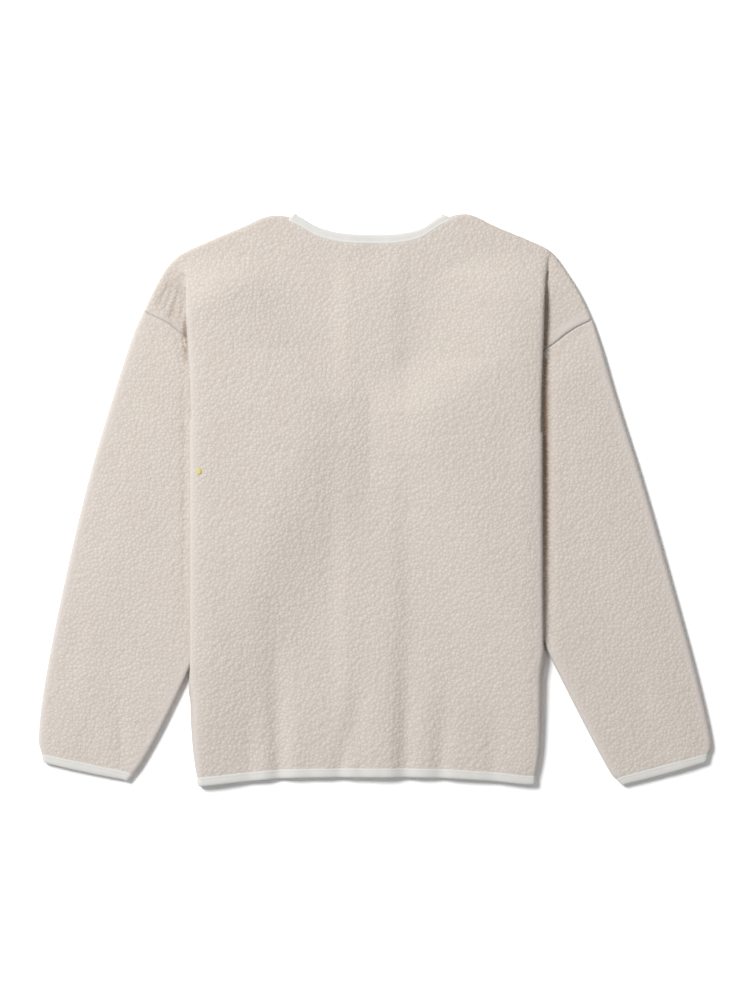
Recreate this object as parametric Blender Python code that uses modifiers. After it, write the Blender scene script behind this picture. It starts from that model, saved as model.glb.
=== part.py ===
"""A snap-front fleece jacket laid out face down, sleeves tucked in beside the body.

The back panel lies on top. Its side edges roll under, and at each shoulder a pleat
carries it out again to the dropped armhole seam. The sleeves lie flat, their inner
halves under the body. The two fronts are the lowest layer and meet in a snapped
overlap. Bound edges finish the neck, fronts, hem and cuffs.

Plan sizes are given as `out`, the distance from the centre back line, and `down`, the
distance below the high neck point. +X is towards the wearer's right, +Y towards the
neck and +Z up from the surface that the jacket lies on. Lengths are in millimetres in
the tables and in metres everywhere else.
"""

import math
from collections import namedtuple

import bmesh
import bpy
import numpy as np

MM = 0.001

# Cloth and gaps
PILE = 3.5 * MM  # the fleece wall, pile and ground
HALF = PILE / 2
SEAM = 0.35 * MM  # the gap between two pieces that are sewn together
BINDING_WIDTH = 9.0 * MM
BINDING_THICK = 3.0 * MM
BAND_GAP = 0.8 * MM  # the gap between a fleece edge and its binding

# Heights of the middle of each wall above the surface
LOW = HALF  # the fronts and the under half of each sleeve
SHOULDER = 6.2 * MM  # the back where it lies on one front, at the armhole seams
SHOULDER_EDGE = 6.8 * MM  # the back at the shoulder and neck edges
SLEEVE_THICK = 10.0 * MM  # a flattened sleeve, outside to outside
TUCKED = SLEEVE_THICK + SEAM + HALF  # what lies on the sleeves under the back
OVER_TUCK = TUCKED + PILE + 3.2 * MM  # the back over the tucked sleeves
ROUND_DROP = 2.4 * MM  # how far the back rounds down to its side folds
FOLD_LEVEL = OVER_TUCK - ROUND_DROP
ON_FRONT = 7.6 * MM  # the back between the sleeves
ON_OVERLAP = 9.9 * MM  # the back over the front opening
OVERLAP_LEVEL = LOW + PILE + SEAM  # the left front where it lies on the right one
HEM_PUFF = 3.2 * MM  # how far the gathered hem lifts the back between its troughs
HEM_PUFF_FROM = 380 * MM
HEM_PUFF_RUN = 200 * MM

# Reach of the laid-out jacket from the centre back line and the high neck point
REACH = {"left": 377.6 * MM, "right": 389.8 * MM}
TOP, FOOT = -0.9 * MM, 653.6 * MM

# Front opening
OVERLAP = 20.0 * MM  # how far each front passes the centre line, binding included
OVERLAP_RUN = 22.0 * MM  # length of the slope up to the overlap
FRONT_EDGE = OVERLAP - BINDING_WIDTH - SEAM
SNAPS = 5
FIRST_SNAP_DOWN = 122.0 * MM
SNAP_PITCH = 122.0 * MM
SNAP_RADIUS = 5.2 * MM
SNAP_LIFT = 0.2 * MM  # the caps sink this far into the pile
CAP_THICK = 1.1 * MM
CAP_ROUND = 0.5 * MM
POST_RADIUS = 2.2 * MM
RING_RADIUS = 4.6 * MM
HOLE_DEPTH = 40.0 * MM  # well past both fronts

# Sleeves and tack
SLEEVE_RISE = 45.0 * MM  # length over which a sleeve fills out below the armhole seam
CROWN = 0.8 * MM
CROWN_MIDDLE = 0.275  # the crown's place, as a share of the way from outer to inner edge
ARMHOLE_GAP = 1.2 * MM
ARMHOLE_AWAY = (0.577, 0.816)  # outwards and down, square to the armhole seam
TACK = {"x": -193.5 * MM, "down": 293.9 * MM, "radius": 3.0 * MM, "thick": 1.0 * MM,
        "taper": 0.8}

# Folded edges
STRIP = 5.0 * MM  # how far the back reaches under a fold, to the seam
SIDE_GAP = 1.2 * MM  # the gap at the side and shoulder seams, whose edges tilt
TUCK_RUN = 18.0 * MM  # length of the fronts' slope up on to a tucked sleeve
SLOPE_CLEAR = 3.0 * MM  # where that slope ends, short of the sleeve
MIN_SIDE = 10.0 * MM  # the least level cloth between that slope and the side seam
BACK_RUN = 125.0 * MM  # length of the back's slope over a tucked sleeve
SPINE = 40.0 * MM  # half the width over which the left slope blends into the right one
INNERMOST = 84.0 * MM  # how near to the centre back line that slope may start
ROUND_RUN = 26.0 * MM  # how far inside a side fold the back starts to round down
ROUND_FROM, ROUND_GROWTH = 95.0 * MM, 70.0 * MM  # the rounding starts on the shoulder pleat
LEAN = 0.16  # radians; the slope at which the rounded back meets its rolled edge
ROLL_SHARE = (1 - math.sin(LEAN)) / (1 + math.cos(LEAN))  # that roll's reach over its height
RIDGE_REACH = 48.0 * MM  # half the width of the back's rise over the front opening
RIDGE_RUN = 26.0 * MM
EDGE_RISE = 70.0 * MM  # length of the slope down to the shoulder and neck edges
WING = 12.0 * MM  # the strip of back panel kept inside the hidden armhole seam
UNDERARM_STEP = 1.5 * MM  # length of the step from the last pleat row to the side fold
FRONT_UNDERARM = 4.0 * MM  # how far below the underarm the fronts' side part starts
TURNED, LAPPED = 4, 5  # pleat rows before these turn with the shoulder, or lap as in the table
BEND_LIMIT = 0.96  # how much of a pleat's height its two bends may take where it laps little
# How far inside a fold, a seam or a sleeve's edge the cloth above is already lifted, in mm
FOLD_HOLD, SEAM_HOLD, SLEEVE_HOLD = 7, 19, 4
ABOVE_PLEAT = 240  # beyond the shoulder, so that nothing is lifted above the pleat
NARROW, SPREAD = 0.75, 0.45  # a hem fold's width at the hem and what it gains, over half_width

SIGN = {"left": -1.0, "right": 1.0}

Spot = namedtuple("Spot", "out down")
Section = namedtuple("Section", "outer_out outer_down inner_out inner_down")
Pleat = namedtuple("Pleat", "seam_out seam_down fold_out fold_down overlap")
Fold = namedtuple("Fold", "hem_x top_x reach depth half_width")

# Shoulder outline, from the neck corner to the outer end of the armhole seam
SHOULDER_LINE = {
    "left": [Spot(91, 3.0), Spot(106, 1.7), Spot(122, 4.0), Spot(141, 13), Spot(195, 36),
             Spot(218, 48), Spot(233, 63), Spot(247, 88), Spot(258, 111)],
    "right": [Spot(91, 3.0), Spot(103, 0.3), Spot(118, 1.6), Spot(146, 15), Spot(180, 29),
              Spot(206, 42), Spot(222, 61), Spot(241, 91), Spot(255, 121)],
}
# Fleece edge of the back neck, from the left corner to the right one; here out is signed
BACK_NECK = [Spot(-91, 3.0), Spot(-80, 12.3), Spot(-58, 24.5), Spot(-30, 31.3), Spot(0, 32.6),
             Spot(30, 32.1), Spot(57, 26.5), Spot(77, 14), Spot(91, 3.0)]
# Fleece edge of the front neck, from the shoulder to the front edge
FRONT_NECK = [Spot(88, 14), Spot(86, 32), Spot(78, 62), Spot(56, 88), Spot(30, 101),
              Spot(-FRONT_EDGE / MM, 105)]
NECK_TURN = 2  # the row of that table where it turns from the side to the bottom
CHEST_OUTS = [44 * MM, 22 * MM, -FRONT_EDGE]  # the fronts' columns nearest the opening
NECK_OUTS = [60 * MM] + CHEST_OUTS
NECK_TILT = np.array([0.0, -0.5, 0.0])  # turns the binding up as it rounds a neck corner
# Rows of the shoulder pleat, from the shoulder line down to the underarm: where each row
# meets the armhole seam, where the fold edge shows, and how far the pleat laps under
PLEAT = {
    "left": [Pleat(258, 111, 214, 46, -16), Pleat(249, 115.5, 212.5, 60, -8),
             Pleat(239.5, 119.8, 211, 74, 1), Pleat(228, 126, 210, 92, 9),
             Pleat(210, 139.5, 208.6, 116, 14), Pleat(184, 154, 207.5, 142, 0),
             Pleat(150, 176, 206.5, 172, 0), Pleat(113, 203, 205.8, 203, 0),
             Pleat(76, 231, 205.2, 233, 0)],
    "right": [Pleat(255, 121, 209, 44, -14), Pleat(246, 124.8, 205.5, 57, -6),
              Pleat(236, 129.8, 203.5, 71, 3), Pleat(225, 137, 201, 92, 11),
              Pleat(208, 150, 199, 120, 14), Pleat(182, 165, 198, 150, 0),
              Pleat(150, 189, 197.5, 182, 0), Pleat(115, 217, 197.2, 215, 0),
              Pleat(80, 246, 197.2, 248, 0)],
}
# Side folds of the body below the underarm, down to the hem
SIDE_LINE = {
    "left": [Spot(205.2, 233), Spot(204.8, 300), Spot(204.6, 420), Spot(204.4, 510),
             Spot(203.5, 577), Spot(200.6, 617), Spot(196.5, 644.2)],
    "right": [Spot(197.2, 248), Spot(197, 300), Spot(197.4, 420), Spot(198, 505),
              Spot(197.4, 570), Spot(195.6, 612), Spot(190.5, 642)],
}
# Fleece edge of the hem, left to right; here out is signed
HEM_LINE = [Spot(-196.5, 644.2), Spot(-178, 642.6), Spot(-139, 638.4), Spot(-85, 634.6),
            Spot(0, 633.8), Spot(80, 634.6), Spot(142, 638.2), Spot(176, 641.6), Spot(190.5, 642)]
# Sections of each sleeve, from the armhole seam to the fleece edge of the cuff
SLEEVE = {
    "left": [Section(258, 111, 76, 231), Section(270, 139, 94, 271), Section(291, 203, 120, 329),
             Section(322, 309, 159, 416), Section(350, 429, 198, 505), Section(370, 532, 234, 581),
             Section(377.5, 594, 258, 624), Section(374, 617.3, 269.5, 639.5)],
    "right": [Section(255, 121, 80, 246), Section(264, 149, 98, 283), Section(283, 214, 124, 337),
              Section(313, 309, 166, 422), Section(346, 425, 207, 507), Section(374, 528, 247, 586),
              Section(389.7, 598, 273, 634), Section(387.6, 616.2, 282, 645)],
}
# Troughs in the back above the hem: where each meets the hem and where it fades out
FOLDS = [
    Fold(-137, -134, 150, 1.7, 15),
    Fold(-103, -108, 245, 4.2, 14),
    Fold(-68, -66, 60, 1.0, 12),
    Fold(-31, -7, 130, 3.0, 13),
    Fold(-12, -8, 240, 1.6, 15),
    Fold(39, 47, 245, 4.0, 15),
    Fold(80, 89, 150, 3.0, 13),
    Fold(141, 140, 140, 1.6, 14),
]
# The soft hollow that the tucked sleeve's corner leaves in the right of the back
HOLLOW = {"x": 160 * MM, "down": 258 * MM, "depth": 1.3 * MM, "radius": 24 * MM}

# Mesh counts
BEND_STEPS = 4
SHOULDER_STEPS = 8
NECK_STEPS = 12
WING_STEPS = 2
PLEAT_STEPS = 2
SIDE_ROWS = 18
FRONT_STEPS = 9
FRONT_OUTER_STEPS = 3
SLEEVE_ROWS = 15
SLEEVE_TOP_STEPS = 7
SLEEVE_UNDER_STEPS = 4
FRONT_SHOULDER_STEPS = 5
FRONT_YOKE_ROWS = 4
FRONT_ARMHOLE_ROWS = 7
FRONT_LOWER_ROWS = 16
SLOPE_STEPS = 3
BAND_STEPS = 2
FRONT_BAND_ROWS = 14
SNAP_SIDES = 20
TACK_SIDES = 20
FINE = 24  # points sampled between two table rows when a path is measured
ACROSS = 100  # points sampled across a sleeve

FLEECE = {"name": "fleece", "colour": (0.68, 0.61, 0.54, 1), "rough": 0.95, "metal": 0.0}
TRIM = {"name": "binding_jersey", "colour": (0.82, 0.80, 0.77, 1), "rough": 0.8, "metal": 0.0}
THREAD = {"name": "yellow_thread", "colour": (0.74, 0.68, 0.16, 1), "rough": 0.7, "metal": 0.0}
METAL = {"name": "snap_metal", "colour": (0.78, 0.76, 0.72, 1), "rough": 0.3, "metal": 1.0}


def smooth(t):
    """A soft step from 0 to 1 as t goes from 0 to 1."""
    t = np.clip(t, 0.0, 1.0)
    return t * t * (3 - 2 * t)


def spaced(path, count):
    """count + 1 points, evenly spaced along a polyline."""
    along = np.concatenate([[0], np.cumsum(np.linalg.norm(np.diff(path, axis=0), axis=1))])
    at = np.linspace(0, along[-1], count + 1)
    return np.stack([np.interp(at, along, path[:, k]) for k in range(path.shape[1])], axis=1)


def curve(points):
    """A fine polyline on the smooth curve through the points."""
    points = np.array(points, float)
    ends = np.vstack([2 * points[0] - points[1], points, 2 * points[-1] - points[-2]])
    fine = []
    for a, b, c, d in zip(ends[:-3], ends[1:-2], ends[2:-1], ends[3:]):
        for t in np.arange(FINE) / FINE:
            fine.append(b + 0.5 * t * (c - a + t * (2 * a - 5 * b + 4 * c - d
                                                    + t * (3 * (b - c) + d - a))))
    fine.append(points[-1])
    return np.array(fine)


def plan(spots, side=None):
    """Table rows as (x, down) in metres; a side turns the distance out into x."""
    sign = SIGN[side] if side else 1.0
    return np.array([(sign * s.out, s.down) for s in spots], float) * MM


def inset(path, distance, towards):
    """The path moved sideways in plan, towards the side where the point lies."""
    along = np.gradient(path, axis=0)
    normal = np.stack([-along[:, 1], along[:, 0]], axis=1)
    normal /= np.linalg.norm(normal, axis=1)[:, None]
    middle = len(path) // 2
    if np.dot(normal[middle], towards - path[middle]) < 0:
        normal = -normal
    return path + normal * distance


def coons(top, bottom, left, right):
    """A grid of plan points that fills the four boundary paths; rows run from top to bottom."""
    u = np.linspace(0, 1, len(top))[None, :, None]
    v = np.linspace(0, 1, len(left))[:, None, None]
    ruled = (1 - v) * top[None] + v * bottom[None] + (1 - u) * left[:, None] + u * right[:, None]
    corners = ((1 - u) * (1 - v) * top[0] + u * (1 - v) * top[-1]
               + (1 - u) * v * bottom[0] + u * v * bottom[-1])
    return ruled - corners


def sleeve_inner_out(down, side):
    """How far out the tucked edge of the sleeve lies at a height on the body."""
    rows = SLEEVE[side]
    return np.interp(down, [r.inner_down * MM for r in rows], [r.inner_out * MM for r in rows])


def under_level(x, down):
    """The middle of the fronts, which climb on to the tucked sleeves."""
    side = "left" if x < 0 else "right"
    start = sleeve_inner_out(down, side) - SLOPE_CLEAR - TUCK_RUN
    return LOW + (TUCKED - LOW) * smooth((abs(x) - start) / TUCK_RUN)


def tucked_from(down, side):
    """How far out the layers tucked under the back begin at a height on the body."""
    rows = [(PLEAT[side][0].fold_down, ABOVE_PLEAT)]
    rows += [(p.fold_down, p.fold_out - max(p.overlap, 0) - FOLD_HOLD) for p in PLEAT[side][2:LAPPED]]
    rows += [(p.seam_down, p.seam_out - SEAM_HOLD) for p in PLEAT[side][LAPPED:]]
    rows += [(s.inner_down, s.inner_out - SLEEVE_HOLD) for s in SLEEVE[side][1:]]
    return np.interp(down, [r[0] * MM for r in rows], [r[1] * MM for r in rows])


def lifted_from(x, down):
    """How far out the lifted part of the back begins, blended across the centre back line."""
    share = smooth((x + SPINE) / (2 * SPINE))
    outs = [max(tucked_from(down, side), INNERMOST) for side in ("left", "right")]
    return outs[0] * (1 - share) + outs[1] * share


def fold_out(down, side):
    """How far out the side fold shows at a height on the body."""
    rows = [(p.fold_down, p.fold_out) for p in PLEAT[side]]
    rows += [(s.down, s.out) for s in SIDE_LINE[side][1:]]
    return np.interp(down, [r[0] * MM for r in rows], [r[1] * MM for r in rows])


def trough(x, down, fold):
    """Depth of one hem fold at a place on the back."""
    up = (FOOT - BINDING_WIDTH - down) / (fold.reach * MM)
    middle = (fold.hem_x + (fold.top_x - fold.hem_x) * np.clip(up, 0, 1)) * MM
    width = fold.half_width * MM * (NARROW + SPREAD * np.clip(up, 0, 1))
    across = np.exp(-(((x - middle) / width) ** 2))
    return fold.depth * MM * across * (1 - smooth(up))


def back_level(x, down, edge_down):
    """The middle of the back panel's wall above the surface.

    edge_down is where the shoulder or neck edge lies above this place.
    """
    side = "left" if x < 0 else "right"
    ridge = smooth((RIDGE_REACH - abs(x)) / RIDGE_RUN)
    base = ON_FRONT + (ON_OVERLAP - ON_FRONT) * ridge
    base += HEM_PUFF * smooth((down - HEM_PUFF_FROM) / HEM_PUFF_RUN)
    tuck = smooth((abs(x) - lifted_from(x, down)) / BACK_RUN + 1)
    level = base + (OVER_TUCK - base) * tuck
    level = SHOULDER_EDGE + (level - SHOULDER_EDGE) * smooth((down - edge_down) / EDGE_RISE)
    near = np.clip(1 - (fold_out(down, side) - abs(x)) / ROUND_RUN, 0, 1)
    level -= ROUND_DROP * near**2 * smooth((down - ROUND_FROM) / ROUND_GROWTH)
    level -= sum(trough(x, down, f) for f in FOLDS)
    reach = math.hypot(x - HOLLOW["x"], down - HOLLOW["down"]) / HOLLOW["radius"]
    level -= HOLLOW["depth"] * math.exp(-reach * reach)
    return level


def shoulder_down(x):
    """The height of the shoulder or neck outline above a place on the back."""
    side = "left" if x < 0 else "right"
    neck = plan(BACK_NECK)
    if neck[0][0] < x < neck[-1][0]:
        return np.interp(x, neck[:, 0], neck[:, 1])
    line = plan(SHOULDER_LINE[side])
    return np.interp(abs(x), line[:, 0], line[:, 1])


def clear_scene():
    for thing in list(bpy.data.objects):
        bpy.data.objects.remove(thing, do_unlink=True)


def material(facts):
    found = bpy.data.materials.get(facts["name"])
    if found:
        return found
    made = bpy.data.materials.new(facts["name"])
    made.use_nodes = True
    shader = made.node_tree.nodes["Principled BSDF"]
    shader.inputs["Base Color"].default_value = facts["colour"]
    shader.inputs["Roughness"].default_value = facts["rough"]
    shader.inputs["Metallic"].default_value = facts["metal"]
    return made


def to_world(point):
    """A plan point and height as row coordinates, with the box's middle at the origin."""
    x, down, z = point
    middle_x = (REACH["right"] - REACH["left"]) / 2
    return (x - middle_x, (TOP + FOOT) / 2 - down, z)


def add_object(name, mesh, facts, collection):
    mesh.materials.append(material(facts))
    thing = bpy.data.objects.new(name, mesh)
    collection.objects.link(thing)
    return thing


def sheet(name, grid, collection, facts=FLEECE, thick=PILE, ring=0):
    """A panel: an open surface through the grid's points, thickened both ways.

    The grid maps (row, column) to a point, and a face is made wherever four meet. A ring
    is the number of columns after which a tube closes.
    """
    form = bmesh.new()
    spots = {key: form.verts.new(to_world(point)) for key, point in grid.items()}
    for row, column in grid:
        after = (column + 1) % ring if ring else column + 1
        corners = [(row, column), (row + 1, column), (row + 1, after), (row, after)]
        if all(c in spots for c in corners):
            form.faces.new([spots[c] for c in corners])
    mesh = bpy.data.meshes.new(name)
    form.to_mesh(mesh)
    form.free()
    mesh.shade_smooth()
    mesh.set_sharp_from_angle(angle=math.radians(50))
    thing = add_object(name, mesh, facts, collection)
    wall = thing.modifiers.new("wall", "SOLIDIFY")
    wall.thickness = thick
    wall.offset = 0
    wall.use_even_offset = False
    return thing


def z_fold(progress, rise, steps):
    """Profile of a pleat: two bends joined by a straight run, as (inward, up) points.

    It starts level at (0, 0), ends level at (progress, rise), and laps back where
    progress is below 0. Where it doesn't lap, it is a soft slope with as many points.
    """
    if progress > 0:
        count = 2 * BEND_STEPS + steps
        return [(progress * k / count, rise * smooth(k / count)) for k in range(count + 1)]
    both = min(rise / 2, BEND_LIMIT * (progress**2 + rise**2) / (2 * rise))
    low = both * (TUCKED - SHOULDER) / (FOLD_LEVEL - SHOULDER)
    high = both - low
    far = math.hypot(progress, rise - both)
    turn = math.atan2(rise - both, progress) + math.asin(min(1.0, both / far))
    points = []
    for k in range(BEND_STEPS + 1):
        angle = turn * k / BEND_STEPS
        points.append((low * math.sin(angle), low * (1 - math.cos(angle))))
    start = np.array(points[-1])
    end = np.array([progress - high * math.sin(turn), rise - high * (1 - math.cos(turn))])
    for k in range(1, steps):
        points.append(tuple(start + (end - start) * k / steps))
    for k in range(BEND_STEPS + 1):
        angle = turn * (1 - k / BEND_STEPS)
        points.append((progress - high * math.sin(angle), rise - high * (1 - math.cos(angle))))
    return points


def half_turn(top, bottom, lean=0.0):
    """The bend that rolls an edge under to a lower level, as (outward, height) points.

    lean is the angle at which the sheet already falls where the bend starts.
    """
    radius = (top - bottom) / (1 + math.cos(lean))
    angles = [lean + (math.pi - lean) * k / BEND_STEPS for k in range(1, BEND_STEPS + 1)]
    return [(radius * (math.sin(a) - math.sin(lean)), bottom + radius * (1 + math.cos(a)))
            for a in angles]


def pleat_rows(side):
    """The pleat table at each mesh row, in metres, with x signed."""
    rows = [(SIGN[side] * p.seam_out, p.seam_down, SIGN[side] * p.fold_out, p.fold_down, p.overlap)
            for p in PLEAT[side]]
    return np.array(rows, float) * MM


def back_panel_grid():
    """The back as (row, column) points: the top sheet, its rolled edges and the two pleats."""
    centre = np.array([0.0, 300 * MM])
    pleats = {side: pleat_rows(side) for side in SIGN}
    rows_above = len(pleats["left"])
    roll = HALF + (FOLD_LEVEL - TUCKED) / 2
    folds = {}
    for side in SIGN:
        line = curve(plan(SIDE_LINE[side], side))
        lower = spaced(line, SIDE_ROWS)[1:]
        lower = np.vstack([line[0] + [0, UNDERARM_STEP], lower])
        folds[side] = np.vstack([pleats[side][:, 2:4], lower])
        ease = np.full(len(folds[side]), roll)
        for i, (x, down) in enumerate(folds[side]):
            level = back_level(x, down, shoulder_down(x))
            if i >= rows_above:
                ease[i] = HALF + (level - under_level(x, down)) * ROLL_SHARE
        folds[side][:, 0] -= SIGN[side] * ease
    shoulder_roll = HALF + (SHOULDER_EDGE - LOW) / 2
    outline = {side: inset(curve(plan(SHOULDER_LINE[side], side)), shoulder_roll, centre)
               for side in SIGN}
    tops, wings = {}, {}
    for side in SIGN:
        line = outline[side]
        cut = int(np.argmin(np.linalg.norm(line - folds[side][0], axis=1)))
        folds[side][0] = line[cut]
        tops[side] = spaced(line[: cut + 1], SHOULDER_STEPS)
        tops[side][0] = plan(SHOULDER_LINE[side], side)[0] + [0, shoulder_roll]
        wings[side] = line[cut:][::-1]
    neck = spaced(curve(plan(BACK_NECK)), NECK_STEPS)
    neck[0], neck[-1] = tops["left"][0], tops["right"][0]
    top = np.vstack([tops["left"][::-1], neck[1:-1], tops["right"]])
    hem = spaced(curve(plan(HEM_LINE)), len(top) - 1)
    hem[0], hem[-1] = folds["left"][-1], folds["right"][-1]
    field = coons(top, hem, folds["left"], folds["right"])
    grid = {}
    columns = len(top)
    for i in range(len(field)):
        for j in range(columns):
            x, down = field[i, j]
            edge = top[j][1]
            grid[i, j] = (x, down, back_level(x, down, edge))
    for side in SIGN:
        add_pleat(grid, side, pleats[side], wings[side], columns)
        add_side_roll(grid, side, rows_above, len(field), columns)
    add_shoulder_roll(grid, columns)
    return grid


def column_of(side, columns, step):
    """The grid column that lies step places outside the top sheet's edge."""
    return -step if side == "left" else columns - 1 + step


def add_pleat(grid, side, pleat, wing_line, columns):
    """Columns outside the top sheet: the pleat's two bends and the shoulder wing."""
    inward_x = -SIGN[side]
    last = len(pleat) - 1
    for i in range(last + 1):
        x, down, level = grid[i, column_of(side, columns, 0)]
        seam = pleat[i][:2]
        edge = np.array([x, down])
        progress = -pleat[i][4]
        if i >= LAPPED:
            progress = -(abs(edge[0]) - (abs(seam[0]) - WING))
        towards = np.array([inward_x, 0.0])
        if i < TURNED:
            towards = (edge - seam) / np.linalg.norm(edge - seam)
            towards = towards * (1 - i / TURNED) + np.array([inward_x, 0.0]) * i / TURNED
            towards /= np.linalg.norm(towards)
        profile = z_fold(progress, level - SHOULDER, PLEAT_STEPS)
        valley = edge - towards * progress
        points = [(*(valley + towards * along), SHOULDER + up) for along, up in profile]
        for k in range(WING_STEPS):
            share = k / WING_STEPS
            points.insert(k, (*(seam + (valley - seam) * share), SHOULDER))
        if i == 0:
            along = spaced(wing_line, len(points) - 1)
            points = [(*spot, point[2]) for spot, point in zip(along, points)]
        for k, point in enumerate(points[:-1]):
            grid[i, column_of(side, columns, len(points) - 1 - k)] = point


def add_side_roll(grid, side, first, rows, columns):
    """Below the underarm the back's edge rolls under and ends at the side seam."""
    outward = SIGN[side]
    for i in range(first, rows):
        x, down, level = grid[i, column_of(side, columns, 0)]
        low = under_level(x, down)
        for k, (along, up) in enumerate(half_turn(level, low, LEAN)):
            grid[i, column_of(side, columns, k + 1)] = (x + outward * along, down, up)
        grid[i, column_of(side, columns, BEND_STEPS + 1)] = (x - outward * STRIP, down, low)


def add_shoulder_roll(grid, columns):
    """Above the shoulder line the back rolls over the edge and ends at the shoulder seam."""
    row = sorted(j for i, j in grid if i == 0)
    corner = SHOULDER_STEPS
    shoulders = [[j for j in row if j <= corner], [j for j in row if j >= columns - 1 - corner]]
    for line in shoulders:
        path = np.array([grid[0, j][:2] for j in line])
        along = np.gradient(path, axis=0)
        normal = np.stack([along[:, 1], -along[:, 0]], axis=1)
        normal /= np.linalg.norm(normal, axis=1)[:, None]
        for j, out in zip(line, normal):
            x, down, level = grid[0, j]
            for k, (reach, up) in enumerate(half_turn(level, LOW)):
                grid[-1 - k, j] = (x + out[0] * reach, down + out[1] * reach, up)
            grid[-1 - BEND_STEPS, j] = (x - out[0] * STRIP, down - out[1] * STRIP, LOW)


def front_grid(side):
    """One front as points: flat on the surface, then up over the tucked sleeve to its side seam."""
    sign = SIGN[side]
    pleat = pleat_rows(side)
    centre = np.array([0.0, 300 * MM])
    shoulder_inset = 2 * HALF + (SHOULDER_EDGE - LOW) / 2 + STRIP + SIDE_GAP
    shoulder = inset(curve(plan(SHOULDER_LINE[side], side)), shoulder_inset, centre)
    neck = curve(plan(FRONT_NECK, side))
    side_neck, low_neck = neck[: NECK_TURN * FINE + 1], neck[NECK_TURN * FINE:]
    shoulder = spaced(np.vstack([shoulder[::-1], neck[:1]]), FRONT_SHOULDER_STEPS)
    armhole = curve(pleat[:, :2])
    underarm = np.array([sign * (abs(pleat[-1][0]) - TUCK_RUN), pleat[-1][3] + FRONT_UNDERARM])
    first = int(np.argmin(np.linalg.norm(armhole - shoulder[0], axis=1)))
    armhole = np.vstack([shoulder[:1], armhole[first + FINE // 4:-FINE], [underarm]])
    armhole = spaced(armhole, FRONT_YOKE_ROWS + FRONT_ARMHOLE_ROWS)
    yoke_side, low_side = armhole[: FRONT_YOKE_ROWS + 1], armhole[FRONT_YOKE_ROWS:]
    neck_end = neck[-1]
    across_yoke = spaced(np.array([yoke_side[-1], side_neck[-1]]), FRONT_SHOULDER_STEPS)
    low_neck = np.array([low_neck[np.argmin(abs(sign * low_neck[:, 0] - out))] for out in NECK_OUTS])
    across_chest = np.vstack([across_yoke, low_neck])
    front_edge = spaced(np.array([neck_end, [neck_end[0], underarm[1]]]), FRONT_ARMHOLE_ROWS)
    across = [(sign * out, underarm[1]) for out in front_outs(abs(underarm[0]))]
    across = np.array(across)
    yoke = coons(shoulder, across_yoke, yoke_side, spaced(side_neck, FRONT_YOKE_ROWS))
    chest = coons(across_chest, across, low_side, front_edge)
    grid = {}
    for first_row, field in ((0, yoke), (FRONT_YOKE_ROWS, chest)):
        for i, row in enumerate(field):
            for j, (x, down) in enumerate(row):
                grid[first_row + i, -j] = (x, down, front_level(x, down, side))
    last = FRONT_YOKE_ROWS + FRONT_ARMHOLE_ROWS
    line = spaced(curve(plan(SIDE_LINE[side], side)), FRONT_LOWER_ROWS)
    hem = plan(HEM_LINE)
    for i, fold in enumerate(line):
        fold_down = max(fold[1], underarm[1])
        height = back_level(*fold, shoulder_down(fold[0])) - under_level(*fold)
        roll = HALF + height * ROLL_SHARE
        side_x = abs(fold[0]) - roll - STRIP - SIDE_GAP
        top_of_slope = min(sleeve_inner_out(fold_down, side) - SLOPE_CLEAR, side_x - MIN_SIDE)
        start = top_of_slope - TUCK_RUN
        outs = list(enumerate(front_outs(start)))
        outward = list(np.linspace(start, top_of_slope, SLOPE_STEPS + 1)[1:])
        outward += list(np.linspace(top_of_slope, side_x, FRONT_OUTER_STEPS + 1)[1:])
        places = [(-j, out) for j, out in outs] + [(j + 1, out) for j, out in enumerate(outward)]
        for j, out in places:
            x = sign * out
            sag = np.interp(x, hem[:, 0], hem[:, 1]) - line[-1][1]
            down = fold_down + sag * (i / FRONT_LOWER_ROWS) ** 3
            grid[last + i, j] = (x, down, front_level(x, down, side))
    return grid


def front_outs(start):
    """How far out each column of a front lies, from where the slope starts to the front edge."""
    return list(np.linspace(start, CHEST_OUTS[0], FRONT_STEPS - 1)) + list(CHEST_OUTS[1:])


def front_level(x, down, side):
    """The middle of a front: the left one climbs over the right one at the opening."""
    level = under_level(x, down) if down > PLEAT[side][-1].fold_down * MM else LOW
    if side == "left":
        level += (OVERLAP_LEVEL - LOW) * smooth((x + OVERLAP + SEAM + OVERLAP_RUN) / OVERLAP_RUN)
    return level


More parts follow.
